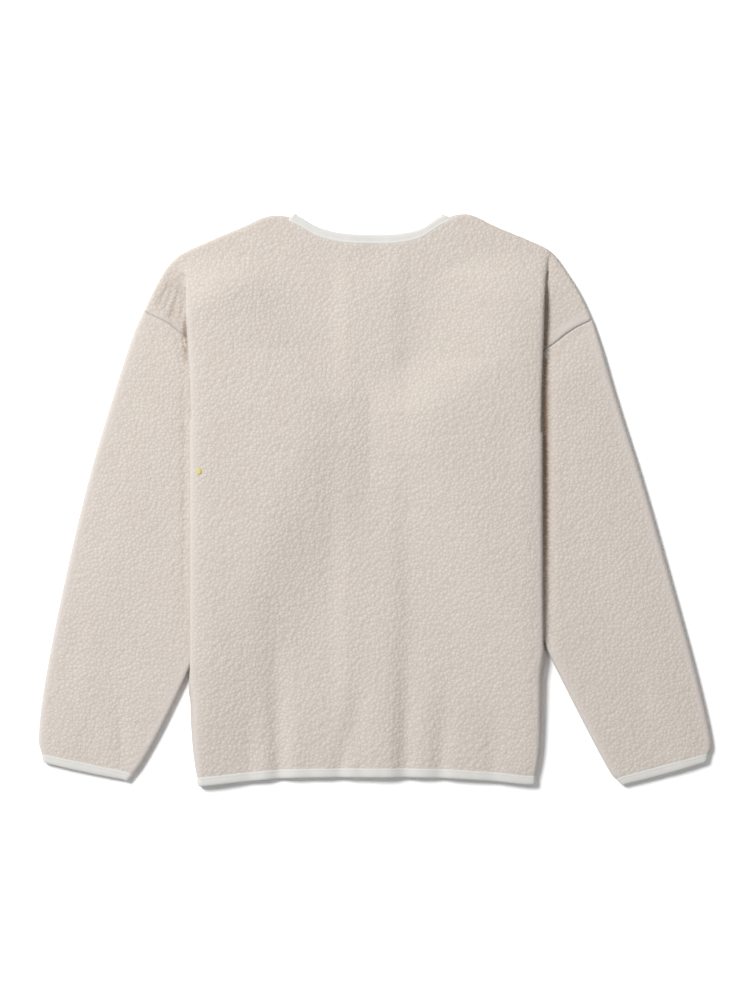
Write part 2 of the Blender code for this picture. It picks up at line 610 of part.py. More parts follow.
def sleeve_grid(side):
    """A sleeve as a flattened tube, one ring of points for each row from armhole to cuff."""
    sign = SIGN[side]
    outer = curve([(sign * s.outer_out * MM, s.outer_down * MM) for s in SLEEVE[side]])
    inner = curve([(sign * s.inner_out * MM, s.inner_down * MM) for s in SLEEVE[side]])
    outer, inner = spaced(outer, SLEEVE_ROWS), spaced(inner, SLEEVE_ROWS)
    seam = pleat_rows(side)[:, :2]
    grid = {}
    for i in range(SLEEVE_ROWS + 1):
        travelled = np.linalg.norm(outer[i] - outer[0])
        high = SHOULDER + (SLEEVE_THICK - HALF - SHOULDER) * smooth(travelled / SLEEVE_RISE)
        radius = (high - LOW) / 2
        line = np.array([outer[i], inner[i]])
        if i == 0:
            away = np.array(ARMHOLE_AWAY) * (sign, 1)
            line = seam + away * ARMHOLE_GAP
        across = spaced(line, ACROSS)
        width = np.linalg.norm(np.diff(across, axis=0), axis=1).sum()
        ease = (radius + HALF) / width
        top_at = np.linspace(ease, 1 - ease, SLEEVE_TOP_STEPS + 1)
        under_at = np.linspace(1 - ease, ease, SLEEVE_UNDER_STEPS + 1)
        unit = (across[-1] - across[0]) / np.linalg.norm(across[-1] - across[0])
        ring = []
        for t in top_at:
            crown = CROWN * math.sin(math.pi * min(1.0, t / (2 * CROWN_MIDDLE))) ** 2
            crown *= smooth(travelled / SLEEVE_RISE)
            ring.append((*point_at(across, t), high + crown))
        for k in range(1, BEND_STEPS):
            angle = math.pi * k / BEND_STEPS
            spot = point_at(across, 1 - ease) + unit * radius * math.sin(angle)
            ring.append((*spot, LOW + radius + radius * math.cos(angle)))
        for t in under_at:
            ring.append((*point_at(across, t), LOW))
        for k in range(1, BEND_STEPS):
            angle = math.pi * k / BEND_STEPS
            spot = point_at(across, ease) - unit * radius * math.sin(angle)
            ring.append((*spot, LOW + radius - radius * math.cos(angle)))
        for j, point in enumerate(ring):
            grid[i, j] = point
    return grid


def point_at(path, share):
    """The place at a share of an evenly spaced path."""
    at = share * (len(path) - 1)
    return np.array([np.interp(at, range(len(path)), path[:, k]) for k in (0, 1)])


def binding(name, stations, collection, closed=False):
    """A binding through its stations, each an edge point and the way its width runs."""
    grid = {}
    for i, (spot, across) in enumerate(stations):
        for j in range(BAND_STEPS + 1):
            reach = BAND_GAP + (BINDING_WIDTH - BAND_GAP) * j / BAND_STEPS
            grid[j, i] = tuple(np.array(spot) + np.array(across) / np.linalg.norm(across) * reach)
    sheet(name, grid, collection, TRIM, BINDING_THICK, len(stations) if closed else 0)


def carried_on(grid, edge, inner):
    """Stations of a binding that carries a grid on past its edge, from the last two places."""
    stations = []
    for at, before in zip(edge, inner):
        spot = np.array(grid[at])
        across = spot - np.array(grid[before])
        across[2] = 0
        stations.append((spot, across / np.linalg.norm(across)))
    return stations


def hem_stations(back, fronts):
    """The hem binding: one front, round a side fold, the back, and round to the other front."""
    def along_hem(grid, backwards):
        last = max(i for i, j in grid)
        columns = sorted((j for i, j in grid if i == last), reverse=backwards)
        return [(grid[last, j], (0.0, 1.0, 0.0)) for j in columns]
    return along_hem(fronts["left"], False) + along_hem(back, False) + along_hem(fronts["right"], True)


def neck_stations(back, fronts):
    """The neck binding: one front, round a shoulder corner, the back neck, and round again."""
    first, last = SHOULDER_STEPS, SHOULDER_STEPS + NECK_STEPS
    top = carried_on(back, [(0, j) for j in range(first + 1, last)],
                     [(1, j) for j in range(first + 1, last)])
    halves = []
    for side, corner, shoulder in (("left", first, first - 1), ("right", last, last + 1)):
        rows = range(-1 - BEND_STEPS, 1)
        roll = carried_on(back, [(i, corner) for i in rows], [(i, shoulder) for i in rows])
        roll = [(spot, across + NECK_TILT) for spot, across in roll]
        front = fronts[side]
        steps = [(i, -FRONT_SHOULDER_STEPS) for i in range(FRONT_YOKE_ROWS + 1)]
        steps += [(FRONT_YOKE_ROWS, -j) for j in range(FRONT_SHOULDER_STEPS + 1, FRONT_STEPS + 1)]
        spots = np.array([front[step] for step in steps])
        normals = inset(spots[:, :2], 1.0, np.array([0.0, 0.0])) - spots[:, :2]
        normals[-1] = (0, -1)
        run = [(spot, np.array([*normal, 0.0])) for spot, normal in zip(spots, normals)]
        halves.append(run[::-1] + roll)
    return halves[0] + top + halves[1][::-1]


def front_stations(side):
    """A front edge's binding, from above the neck edge to below the hem."""
    x = -SIGN[side] * FRONT_EDGE
    neck_down = FRONT_NECK[-1].down * MM - BINDING_WIDTH
    hem = plan(HEM_LINE)
    hem_down = np.interp(x, hem[:, 0], hem[:, 1]) + BINDING_WIDTH
    path = spaced(np.array([[x, neck_down], [x, hem_down]]), FRONT_BAND_ROWS)
    level = OVERLAP_LEVEL if side == "left" else LOW
    return [((px, down, level), (-SIGN[side], 0.0, 0.0)) for px, down in path]


def cuff_stations(sleeve):
    """A cuff binding: the sleeve's last ring carried on along the sleeve."""
    last = max(i for i, j in sleeve)
    columns = range(1 + max(j for i, j in sleeve))
    return carried_on(sleeve, [(last, j) for j in columns], [(last - 1, j) for j in columns])


def snap(name, down, collection):
    """A closed press snap: a cap, the joined stud and socket, and the ring behind."""
    top = OVERLAP_LEVEL + HALF
    neck = CAP_THICK + SNAP_LIFT
    outline = [(0, 0), (SNAP_RADIUS - CAP_ROUND, 0), (SNAP_RADIUS, CAP_ROUND),
               (SNAP_RADIUS, CAP_THICK), (POST_RADIUS, neck), (POST_RADIUS, top - neck),
               (RING_RADIUS, top - CAP_THICK), (RING_RADIUS, top - CAP_ROUND),
               (RING_RADIUS - CAP_ROUND, top), (0, top)]
    mesh = bpy.data.meshes.new(name)
    form = bmesh.new()
    spots = [form.verts.new((radius, 0, z)) for radius, z in reversed(outline)]
    for a, b in zip(spots, spots[1:]):
        form.edges.new((a, b))
    form.to_mesh(mesh)
    form.free()
    thing = add_object(name, mesh, METAL, collection)
    thing.location = to_world((0, down, SNAP_LIFT))
    turn = thing.modifiers.new("turn", "SCREW")
    turn.axis = "Z"
    turn.steps = SNAP_SIDES
    turn.render_steps = SNAP_SIDES
    turn.use_merge_vertices = True
    turn.merge_threshold = 0.00001
    return thing


def snap_hole(index, down, cutters):
    """A cutter for the hole that a snap fills in both fronts."""
    mesh = bpy.data.meshes.new(f"snap_hole_{index}")
    form = bmesh.new()
    bmesh.ops.create_cone(form, cap_ends=True, segments=SNAP_SIDES, radius1=SNAP_RADIUS + SEAM,
                          radius2=SNAP_RADIUS + SEAM, depth=HOLE_DEPTH)
    form.to_mesh(mesh)
    form.free()
    cutter = bpy.data.objects.new(f"snap_hole_{index}", mesh)
    cutter.location = to_world((0, down, 0))
    cutter.hide_render = True
    cutter.display_type = "WIRE"
    cutters.objects.link(cutter)
    return cutter


def cut(thing, cutter):
    hole = thing.modifiers.new(cutter.name, "BOOLEAN")
    hole.operation = "DIFFERENCE"
    hole.object = cutter


def yellow_tack(collection):
    """A small round tack of plain yellow thread on the back, near its left edge."""
    mesh = bpy.data.meshes.new("yellow_tack")
    form = bmesh.new()
    bmesh.ops.create_cone(form, cap_ends=True, segments=TACK_SIDES, radius1=TACK["radius"],
                          radius2=TACK["radius"] * TACK["taper"], depth=TACK["thick"])
    form.to_mesh(mesh)
    form.free()
    thing = add_object("yellow_tack", mesh, THREAD, collection)
    level = back_level(TACK["x"], TACK["down"], shoulder_down(TACK["x"]))
    thing.location = to_world((TACK["x"], TACK["down"], level + HALF + SEAM + TACK["thick"] / 2))


def main():
    clear_scene()
    jacket = bpy.data.collections.new("fleece_jacket")
    cutters = bpy.data.collections.new("cutters")
    bpy.context.scene.collection.children.link(jacket)
    bpy.context.scene.collection.children.link(cutters)
    back = back_panel_grid()
    grids = {side: front_grid(side) for side in SIGN}
    sheet("back_panel", back, jacket)
    fronts = [sheet(f"front_{side}", grids[side], jacket) for side in SIGN]
    for side in SIGN:
        sleeve = sleeve_grid(side)
        cuff = cuff_stations(sleeve)
        sheet(f"sleeve_{side}", sleeve, jacket, ring=len(cuff))
        binding(f"cuff_binding_{side}", cuff, jacket, closed=True)
        binding(f"front_binding_{side}", front_stations(side), jacket)
    binding("neck_binding", neck_stations(back, grids), jacket)
    binding("hem_binding", hem_stations(back, grids), jacket)
    for index in range(SNAPS):
        down = FIRST_SNAP_DOWN + index * SNAP_PITCH
        snap(f"snap_{index + 1}", down, jacket)
        hole = snap_hole(index + 1, down, cutters)
        for front in fronts:
            cut(front, hole)
    yellow_tack(jacket)


main()
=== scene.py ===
"""Looks of a collarless snap-front jacket in sherpa fleece, laid out face down.

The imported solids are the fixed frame. Each cloth piece is made again with its pile, its
seams and its bound edges, in the place that its solid holds. Plan places are given as
`out`, the distance from the centre back line, and `down`, the distance below the high
neck point. Tables are in millimetres, everything else in metres.
"""

import math
from collections import namedtuple

import bpy
import numpy as np
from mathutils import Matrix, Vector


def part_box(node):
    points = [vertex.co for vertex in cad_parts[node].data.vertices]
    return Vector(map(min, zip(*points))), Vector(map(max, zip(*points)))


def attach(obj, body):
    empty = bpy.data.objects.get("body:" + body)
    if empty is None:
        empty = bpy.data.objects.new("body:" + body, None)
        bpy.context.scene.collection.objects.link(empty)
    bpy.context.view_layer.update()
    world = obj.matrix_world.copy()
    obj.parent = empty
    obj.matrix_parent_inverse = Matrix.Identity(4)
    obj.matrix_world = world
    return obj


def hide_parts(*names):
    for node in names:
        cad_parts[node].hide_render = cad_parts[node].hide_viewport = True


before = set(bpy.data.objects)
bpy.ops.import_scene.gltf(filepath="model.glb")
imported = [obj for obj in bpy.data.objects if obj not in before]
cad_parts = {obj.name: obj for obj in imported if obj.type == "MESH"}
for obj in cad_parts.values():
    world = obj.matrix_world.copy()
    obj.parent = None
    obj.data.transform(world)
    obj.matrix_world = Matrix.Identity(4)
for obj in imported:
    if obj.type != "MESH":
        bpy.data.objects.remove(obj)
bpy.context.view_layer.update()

# Back of the body: one panel of sherpa fleece, a knitted polyester ground with a curled
# pile, with half of each dropped shoulder cut in one with it. Its side edges roll under,
# and a pleat at each shoulder carries it out again to the armhole seam.
MM = 0.001
PILE = 3.5 * MM
HALF = PILE / 2
LOW = HALF
SHOULDER = 6.2 * MM
SHOULDER_EDGE = 6.8 * MM
SLEEVE_THICK = 10.0 * MM
SEAM = 0.35 * MM
TUCKED = SLEEVE_THICK + SEAM + HALF
OVER_TUCK = TUCKED + PILE + 3.2 * MM
ROUND_DROP = 2.4 * MM
FOLD_LEVEL = OVER_TUCK - ROUND_DROP
ON_FRONT = 7.6 * MM
ON_OVERLAP = 9.9 * MM
OVERLAP = 20.0 * MM
HEM_PUFF = 3.2 * MM
HEM_PUFF_FROM = 380 * MM
HEM_PUFF_RUN = 200 * MM
BINDING_WIDTH = 9.0 * MM
REACH = {"left": 377.6 * MM, "right": 389.8 * MM}
TOP, FOOT = -0.9 * MM, 653.6 * MM
STRIP = 5.0 * MM
SLOPE_CLEAR = 3.0 * MM
TUCK_RUN = 18.0 * MM
BACK_RUN = 125.0 * MM
SPINE = 40.0 * MM
INNERMOST = 84.0 * MM
ROUND_RUN = 26.0 * MM
ROUND_FROM, ROUND_GROWTH = 95.0 * MM, 70.0 * MM
LEAN = 0.16
ROLL_SHARE = (1 - math.sin(LEAN)) / (1 + math.cos(LEAN))
RIDGE_REACH = 48.0 * MM
RIDGE_RUN = 26.0 * MM
EDGE_RISE = 70.0 * MM
WING = 12.0 * MM
SIGN = {"left": -1.0, "right": 1.0}

Spot = namedtuple("Spot", "out down")
Section = namedtuple("Section", "outer_out outer_down inner_out inner_down")
Pleat = namedtuple("Pleat", "seam_out seam_down fold_out fold_down overlap")
Fold = namedtuple("Fold", "hem_x top_x reach depth half_width")
Crease = namedtuple("Crease", "path depth half_width")

SHOULDER_LINE = {
    "left": [Spot(91, 3.0), Spot(106, 1.7), Spot(122, 4.0), Spot(141, 13), Spot(195, 36),
             Spot(218, 48), Spot(233, 63), Spot(247, 88), Spot(258, 111)],
    "right": [Spot(91, 3.0), Spot(103, 0.3), Spot(118, 1.6), Spot(146, 15), Spot(180, 29),
              Spot(206, 42), Spot(222, 61), Spot(241, 91), Spot(255, 121)],
}
BACK_NECK = [Spot(-91, 3.0), Spot(-80, 12.3), Spot(-58, 24.5), Spot(-30, 31.3), Spot(0, 32.6),
             Spot(30, 32.1), Spot(57, 26.5), Spot(77, 14), Spot(91, 3.0)]
PLEAT = {
    "left": [Pleat(258, 111, 214, 46, -16), Pleat(249, 115.5, 212.5, 60, -8),
             Pleat(239.5, 119.8, 211, 74, 1), Pleat(228, 126, 210, 92, 9),
             Pleat(210, 139.5, 208.6, 116, 14), Pleat(184, 154, 207.5, 142, 0),
             Pleat(150, 176, 206.5, 172, 0), Pleat(113, 203, 205.8, 203, 0),
             Pleat(76, 231, 205.2, 233, 0)],
    "right": [Pleat(255, 121, 209, 44, -14), Pleat(246, 124.8, 205.5, 57, -6),
              Pleat(236, 129.8, 203.5, 71, 3), Pleat(225, 137, 201, 92, 11),
              Pleat(208, 150, 199, 120, 14), Pleat(182, 165, 198, 150, 0),
              Pleat(150, 189, 197.5, 182, 0), Pleat(115, 217, 197.2, 215, 0),
              Pleat(80, 246, 197.2, 248, 0)],
}
SIDE_LINE = {
    "left": [Spot(205.2, 233), Spot(204.8, 300), Spot(204.6, 420), Spot(204.4, 510),
             Spot(203.5, 577), Spot(200.6, 617), Spot(196.5, 644.2)],
    "right": [Spot(197.2, 248), Spot(197, 300), Spot(197.4, 420), Spot(198, 505),
              Spot(197.4, 570), Spot(195.6, 612), Spot(190.5, 642)],
}
HEM_LINE = [Spot(-196.5, 644.2), Spot(-178, 642.6), Spot(-139, 638.4), Spot(-85, 634.6),
            Spot(0, 633.8), Spot(80, 634.6), Spot(142, 638.2), Spot(176, 641.6), Spot(190.5, 642)]
SLEEVE = {
    "left": [Section(258, 111, 76, 231), Section(270, 139, 94, 271), Section(291, 203, 120, 329),
             Section(322, 309, 159, 416), Section(350, 429, 198, 505), Section(370, 532, 234, 581),
             Section(377.5, 594, 258, 624), Section(374, 617.3, 269.5, 639.5)],
    "right": [Section(255, 121, 80, 246), Section(264, 149, 98, 283), Section(283, 214, 124, 337),
              Section(313, 309, 166, 422), Section(346, 425, 207, 507), Section(374, 528, 247, 586),
              Section(389.7, 598, 273, 634), Section(387.6, 616.2, 282, 645)],
}
# Troughs in the back above the hem: where each meets the hem and where it fades out
FOLDS = [
    Fold(-137, -134, 150, 1.7, 15),
    Fold(-103, -108, 245, 4.2, 14),
    Fold(-68, -66, 60, 1.0, 12),
    Fold(-35, -9, 130, 3.6, 13),
    Fold(-12, -8, 240, 1.6, 15),
    Fold(39, 47, 245, 3.5, 15),
    Fold(80, 89, 150, 3.0, 13),
    Fold(141, 140, 140, 1.6, 14),
]
HOLLOW = {"x": 160 * MM, "down": 258 * MM, "depth": 1.3 * MM, "radius": 24 * MM}
# Creases as paths of (x, down), their depth and half their width. One with a negative
# depth is a ridge: the seam allowance that lies inside the right armhole seam.
BACK_CREASES = [
    Crease([(252.4, 117.3), (243.4, 121.1), (233.4, 126.1), (222.4, 133.3), (205, 146.5)], -0.8, 3.8),
    Crease([(205.5, 60), (203.5, 85), (202.5, 115), (202, 150)], 0.8, 4),
    Crease([(206.5, 44), (205, 56), (203, 70), (201.5, 84)], 2.4, 2.4),
    Crease([(-229.7, 78), (-233.1, 90.6), (-241, 107)], 1.2, 2.6),
    Crease([(-223, 76), (-227.6, 92.9), (-233, 110)], 0.9, 2.4),
    Crease([(-217.3, 80.4), (-219.6, 98.6), (-225.1, 117.5)], 1.1, 2.8),
    Crease([(-212.6, 89.5), (-213.2, 110), (-216.2, 128)], 1.0, 2.4),
    Crease([(4, 36), (5, 54)], 0.9, 17),
    Crease([(-95, 150), (-40, 178), (30, 190)], 0.5, 20),
    Crease([(60, 330), (110, 352), (150, 350)], 0.5, 16),
    Crease([(-150, 390), (-158, 450), (-150, 500)], 0.6, 14),
]

# Rows and columns of the panel's outer face, which has a point every 1.8 mm or so. The
# inner face has one for each INNER of them, so every count here is a multiple of it.
INNER = 4
PLEAT_ROWS, SIDE_ROWS = 108, 224
SHOULDER_COLUMNS, NECK_COLUMNS = 68, 104
FLANK, ROLL, ROLL_BEND = 24, 8, 6
FINE = 24
# The side folds draw in by this much as they are evened out, so they start further out
SOFTENED = 2.4 * MM


def smooth(t):
    """A soft step from 0 to 1 as t goes from 0 to 1."""
    t = np.clip(t, 0.0, 1.0)
    return t * t * (3 - 2 * t)


def through(points, at):
    """Places on the smooth curve through the points; at counts in steps from the first."""
    points = np.asarray(points, float)
    ends = np.concatenate([2 * points[:1] - points[1:2], points, 2 * points[-1:] - points[-2:-1]])
    step = np.clip(np.floor(at).astype(int), 0, len(points) - 2)
    t = (at - step).reshape(-1, *[1] * (points.ndim - 1))
    a, b, c, d = (ends[step + n] for n in range(4))
    return b + 0.5 * t * (c - a + t * (2 * a - 5 * b + 4 * c - d + t * (3 * (b - c) + d - a)))


def curve(points):
    """A fine polyline on the smooth curve through the points."""
    return through(points, np.linspace(0, len(points) - 1, FINE * (len(points) - 1) + 1))


def travelled_along(path):
    """How far along a polyline each of its points lies."""
    return np.concatenate([[0], np.cumsum(np.linalg.norm(np.diff(path, axis=0), axis=1))])


def spaced(path, count):
    """count + 1 points, evenly spaced along a polyline."""
    along = travelled_along(path)
    at = np.linspace(0, along[-1], count + 1)
    return np.stack([np.interp(at, along, path[:, k]) for k in range(path.shape[1])], axis=1)


def plan(spots, side=None):
    """Table rows as (x, down) in metres; a side turns the distance out into x."""
    sign = SIGN[side] if side else 1.0
    return np.array([(sign * s.out, s.down) for s in spots], float) * MM


def inset(path, distance, towards):
    """The path moved sideways in plan, towards the side where the point lies."""
    along = np.gradient(path, axis=0)
    normal = np.stack([-along[:, 1], along[:, 0]], axis=1)
    normal /= np.linalg.norm(normal, axis=1)[:, None]
    middle = len(path) // 2
    if np.dot(normal[middle], towards - path[middle]) < 0:
        normal = -normal
    return path + normal * distance


def coons(top, bottom, left, right):
    """A grid of plan points that fills the four boundary paths; rows run from top to bottom."""
    u = np.linspace(0, 1, len(top))[None, :, None]
    v = np.linspace(0, 1, len(left))[:, None, None]
    ruled = (1 - v) * top[None] + v * bottom[None] + (1 - u) * left[:, None] + u * right[:, None]
    corners = ((1 - u) * (1 - v) * top[0] + u * (1 - v) * top[-1]
               + (1 - u) * v * bottom[0] + u * v * bottom[-1])
    return ruled - corners


def by_side(x, of_side):
    """What a function of the side gives, for each place's own side."""
    return np.where(x < 0, of_side("left"), of_side("right"))


def sleeve_inner_out(down, side):
    """How far out the tucked edge of the sleeve lies at a height on the body."""
    rows = SLEEVE[side]
    return np.interp(down, [r.inner_down * MM for r in rows], [r.inner_out * MM for r in rows])


def under_level(x, down):
    """The middle of the fronts, which climb on to the tucked sleeves."""
    start = by_side(x, lambda side: sleeve_inner_out(down, side)) - SLOPE_CLEAR - TUCK_RUN
    return LOW + (TUCKED - LOW) * smooth((abs(x) - start) / TUCK_RUN)


def tucked_from(down, side):
    """How far out the layers tucked under the back begin at a height on the body."""
    rows = [(p.fold_down, p.fold_out - max(p.overlap, 0) - 7) for p in PLEAT[side][2:5]]
    rows = [(PLEAT[side][0].fold_down, 240)] + rows
    rows += [(p.seam_down, p.seam_out - 19) for p in PLEAT[side][5:]]
    rows += [(s.inner_down, s.inner_out - 4) for s in SLEEVE[side][1:]]
    return np.interp(down, [r[0] * MM for r in rows], [r[1] * MM for r in rows])


def lifted_from(x, down):
    """How far out the lifted part of the back begins, blended across the centre back line."""
    share = smooth((x + SPINE) / (2 * SPINE))
    outs = [np.maximum(tucked_from(down, side), INNERMOST) for side in ("left", "right")]
    return outs[0] * (1 - share) + outs[1] * share


def fold_out(down, side):
    """How far out the side fold shows at a height on the body."""
    rows = [(p.fold_down, p.fold_out) for p in PLEAT[side]]
    rows += [(s.down, s.out) for s in SIDE_LINE[side][1:]]
    return np.interp(down, [r[0] * MM for r in rows], [r[1] * MM for r in rows])


def trough(x, down, fold):
    """Depth of one hem fold at a place on the back."""
    up = (FOOT - BINDING_WIDTH - down) / (fold.reach * MM)
    middle = (fold.hem_x + (fold.top_x - fold.hem_x) * np.clip(up, 0, 1)) * MM
    width = fold.half_width * MM * (0.75 + 0.45 * np.clip(up, 0, 1))
    across = np.exp(-(((x - middle) / width) ** 2))
    return fold.depth * MM * across * (1 - smooth(up))


def back_level(x, down, edge_down):
    """The middle of the back panel's wall above the surface."""
    ridge = smooth((RIDGE_REACH - abs(x)) / RIDGE_RUN)
    base = ON_FRONT + (ON_OVERLAP - ON_FRONT) * ridge
    base = base + HEM_PUFF * smooth((down - HEM_PUFF_FROM) / HEM_PUFF_RUN)
    level = base + (OVER_TUCK - base) * smooth((abs(x) - lifted_from(x, down)) / BACK_RUN + 1)
    level = SHOULDER_EDGE + (level - SHOULDER_EDGE) * smooth((down - edge_down) / EDGE_RISE)
    near = np.clip(1 - (by_side(x, lambda side: fold_out(down, side)) - abs(x)) / ROUND_RUN, 0, 1)
    level = level - ROUND_DROP * near**2 * smooth((down - ROUND_FROM) / ROUND_GROWTH)
    level = level - sum(trough(x, down, fold) for fold in FOLDS)
    reach = np.hypot(x - HOLLOW["x"], down - HOLLOW["down"]) / HOLLOW["radius"]
    return level - HOLLOW["depth"] * np.exp(-reach * reach)


def sunk(x, down, creases):
    """How far creases lower the cloth at each place; each fades out towards its ends."""
    total = np.zeros(x.shape)
    for crease in creases:
        wide = crease.half_width * MM
        path = curve(crease.path) * MM
        length = np.linalg.norm(np.diff(path, axis=0), axis=1).sum()
        path = spaced(path, int(2 * length / wide) + 6)
        low, high = path.min(axis=0) - 3 * wide, path.max(axis=0) + 3 * wide
        near = (x > low[0]) & (x < high[0]) & (down > low[1]) & (down < high[1])
        far = np.hypot(x[near][:, None] - path[:, 0], down[near][:, None] - path[:, 1])
        fade = np.sin(math.pi * np.linspace(0.04, 0.96, len(path))) ** 0.6
        total[near] += crease.depth * MM * (fade * np.exp(-((far / wide) ** 2))).max(axis=1)
    return total


def shoulder_down(x):
    """The height of the shoulder or neck outline above a place on the back."""
    line = {side: plan(SHOULDER_LINE[side]) for side in SIGN}
    above = by_side(x, lambda side: np.interp(abs(x), line[side][:, 0], line[side][:, 1]))
    neck = plan(BACK_NECK)
    return np.where(abs(x) < neck[-1][0], np.interp(x, neck[:, 0], neck[:, 1]), above)


def z_fold(progress, rise):
    """Profile of a pleat: two bends joined by a straight run, as (inward, up) points.

    It starts level at (0, 0), ends level at (progress, rise), and laps back where
    progress is below 0. Where it doesn't lap, it is a soft slope.
    """
    bend = 2 * ROLL
    if progress > 0:
        share = np.linspace(0, 1, 2 * bend + 2)
        return np.stack([progress * share, rise * smooth(share)], axis=1)
    both = min(rise / 2, 0.96 * (progress**2 + rise**2) / (2 * rise))
    low = both * (TUCKED - SHOULDER) / (FOLD_LEVEL - SHOULDER)
    high = both - low
    far = math.hypot(progress, rise - both)
    turn = math.atan2(rise - both, progress) + math.asin(min(1.0, both / far))
    angle = turn * np.linspace(0, 1, bend + 1)
    first = np.stack([low * np.sin(angle), low * (1 - np.cos(angle))], axis=1)
    angle = angle[::-1]
    last = np.stack([progress - high * np.sin(angle), rise - high * (1 - np.cos(angle))], axis=1)
    return np.vstack([first, last])


def pleat_seam(side):
    """The armhole seam as plan places, from the shoulder line to the underarm."""
    return np.array([(SIGN[side] * p.seam_out, p.seam_down) for p in PLEAT[side]]) * MM


def flank_rows(side, edges, wing_line):
    """The pleat and shoulder wing at each table row, from the armhole seam to the fold."""
    rows = []
    inward = np.array([-SIGN[side], 0.0])
    for i, (pleat, seam, edge) in enumerate(zip(PLEAT[side], pleat_seam(side), edges)):
        level = float(back_level(*edge, shoulder_down(edge[0])))
        progress = -pleat.overlap * MM
        if i >= 5:
            progress = -(abs(edge[0]) - (abs(seam[0]) - WING))
        towards = inward
        if i < 4:
            towards = (edge - seam) / np.linalg.norm(edge - seam)
            towards = towards * (1 - i / 4) + inward * i / 4
            towards = towards / np.linalg.norm(towards)
        profile = z_fold(progress, level - SHOULDER)
        valley = edge - towards * progress
        spots = valley + towards * profile[:, :1]
        points = np.column_stack([spots, SHOULDER + profile[:, 1]])
        points = np.vstack([(*seam, SHOULDER), points])
        points = spaced(points, FLANK)
        if i == 0:
            points[:, :2] = spaced(wing_line, FLANK)
        rows.append(points)
    return np.array(rows)


def back_cloth():
    """The middle of the back panel's wall, as rows and columns of points."""
    centre = np.array([0.0, 300 * MM])
    roll = HALF + (FOLD_LEVEL - TUCKED) / 2 - SOFTENED
    shoulder_roll = HALF + (SHOULDER_EDGE - LOW) / 2
    wide = 2 * (FLANK + SHOULDER_COLUMNS) + NECK_COLUMNS + 1
    cloth = np.full((ROLL + PLEAT_ROWS + SIDE_ROWS + 1, wide, 3), np.nan)
    tops, folds, flanks = {}, {}, {}
    for side in SIGN:
        line = inset(curve(plan(SHOULDER_LINE[side], side)), shoulder_roll, centre)
        edges = np.array([(SIGN[side] * (p.fold_out * MM - roll), p.fold_down * MM)
                          for p in PLEAT[side]])
        cut = int(np.argmin(np.linalg.norm(line - edges[0], axis=1)))
        edges[0] = line[cut]
        tops[side] = spaced(line[: cut + 1], SHOULDER_COLUMNS)
        tops[side][0] = plan(SHOULDER_LINE[side], side)[0] + [0, shoulder_roll]
        steps = np.linspace(0, len(edges) - 1, FINE * (len(edges) - 1) + 1)
        fine = through(edges, steps)
        along = travelled_along(fine)
        at = np.interp(np.linspace(0, along[-1], PLEAT_ROWS + 1), along, steps)
        lower = spaced(curve(plan(SIDE_LINE[side], side)), SIDE_ROWS)[1:]
        level = back_level(lower[:, 0], lower[:, 1], shoulder_down(lower[:, 0]))
        ease = HALF + (level - under_level(lower[:, 0], lower[:, 1])) * ROLL_SHARE
        lower[:, 0] -= SIGN[side] * ease
        folds[side] = np.vstack([through(edges, at), lower])
        flanks[side] = through(flank_rows(side, edges, line[cut:][::-1]), at)
    neck = plan(BACK_NECK)
    neck[0], neck[-1] = tops["left"][0], tops["right"][0]
    neck = spaced(curve(neck), NECK_COLUMNS)
    top = np.vstack([tops["left"][::-1], neck[1:-1], tops["right"]])
    hem = spaced(curve(plan(HEM_LINE)), len(top) - 1)
    hem[0], hem[-1] = folds["left"][-1], folds["right"][-1]
    field = coons(top, hem, folds["left"], folds["right"])
    x, down = field[..., 0], field[..., 1]
    cloth[ROLL:, FLANK:-FLANK] = np.stack([x, down, back_level(x, down, top[:, 1])], axis=-1)
    pleated = slice(ROLL, ROLL + PLEAT_ROWS + 1)
    cloth[pleated, :FLANK] = flanks["left"][:, :-1]
    cloth[pleated, -FLANK:] = flanks["right"][:, :-1][:, ::-1]
    add_side_rolls(cloth)
    add_shoulder_rolls(cloth)
    for half in (cloth, cloth[:, ::-1]):
        soften(half[ROLL:], slice(FLANK - 2, FLANK + 7), 8)
    upper = cloth[..., 2] > LOW + PILE
    cloth[..., 2] -= np.where(upper, sunk(cloth[..., 0], cloth[..., 1], BACK_CREASES), 0)
    return cloth


# Painted shade beside the folds: a browner, darker colour in the slot by the right side fold
# and in the left pleat's recess, as creases whose depth is the share of that colour, in thousandths
BACK_PAINTED_SHADE = [
    Crease([(206, 40), (204.6, 52), (202.4, 72), (201.2, 100), (200.6, 130), (200.4, 175),
            (200.4, 250), (200.6, 340), (201, 430), (200, 500)], 1050, 6.8),
    Crease([(-226, 70), (-233, 92), (-243, 112)], 500, 7),
    Crease([(-214, 70), (-219, 98), (-228, 120), (-214, 133)], 600, 7),
    Crease([(-210, 112), (-210, 145), (-209, 176)], 900, 4.5),
]


# Where seams press the pile flat, as creases whose depth is the share pressed, in thousandths
BACK_PRESSED = [
    Crease([(252.4, 113), (243, 117), (233, 122), (222, 129), (205, 142)], 650, 3.4),
    Crease([(-259, 110), (-243, 114), (-226, 124), (-209, 138)], 400, 3.4),
]


def back_pile():
    """How full the pile stands on the back: it lies flatter over the folds and the ridge."""
    rows, columns = back.shape[:2]
    from_fold = abs(np.arange(columns) - FLANK)
    from_fold = np.minimum(from_fold, from_fold[::-1])
    pile = np.tile(0.3 + 0.7 * smooth(from_fold / 7), (rows, 1))
    pile[: ROLL + PLEAT_ROWS // 3] = 1
    ridge = np.clip(-sunk(back[..., 0], back[..., 1], BACK_CREASES[:1]) / (1.2 * MM), 0, 1)
    pressed = np.clip(sunk(back[..., 0], back[..., 1], BACK_PRESSED), 0, 1)
    return pile * (1 - 0.75 * ridge) * (1 - pressed)


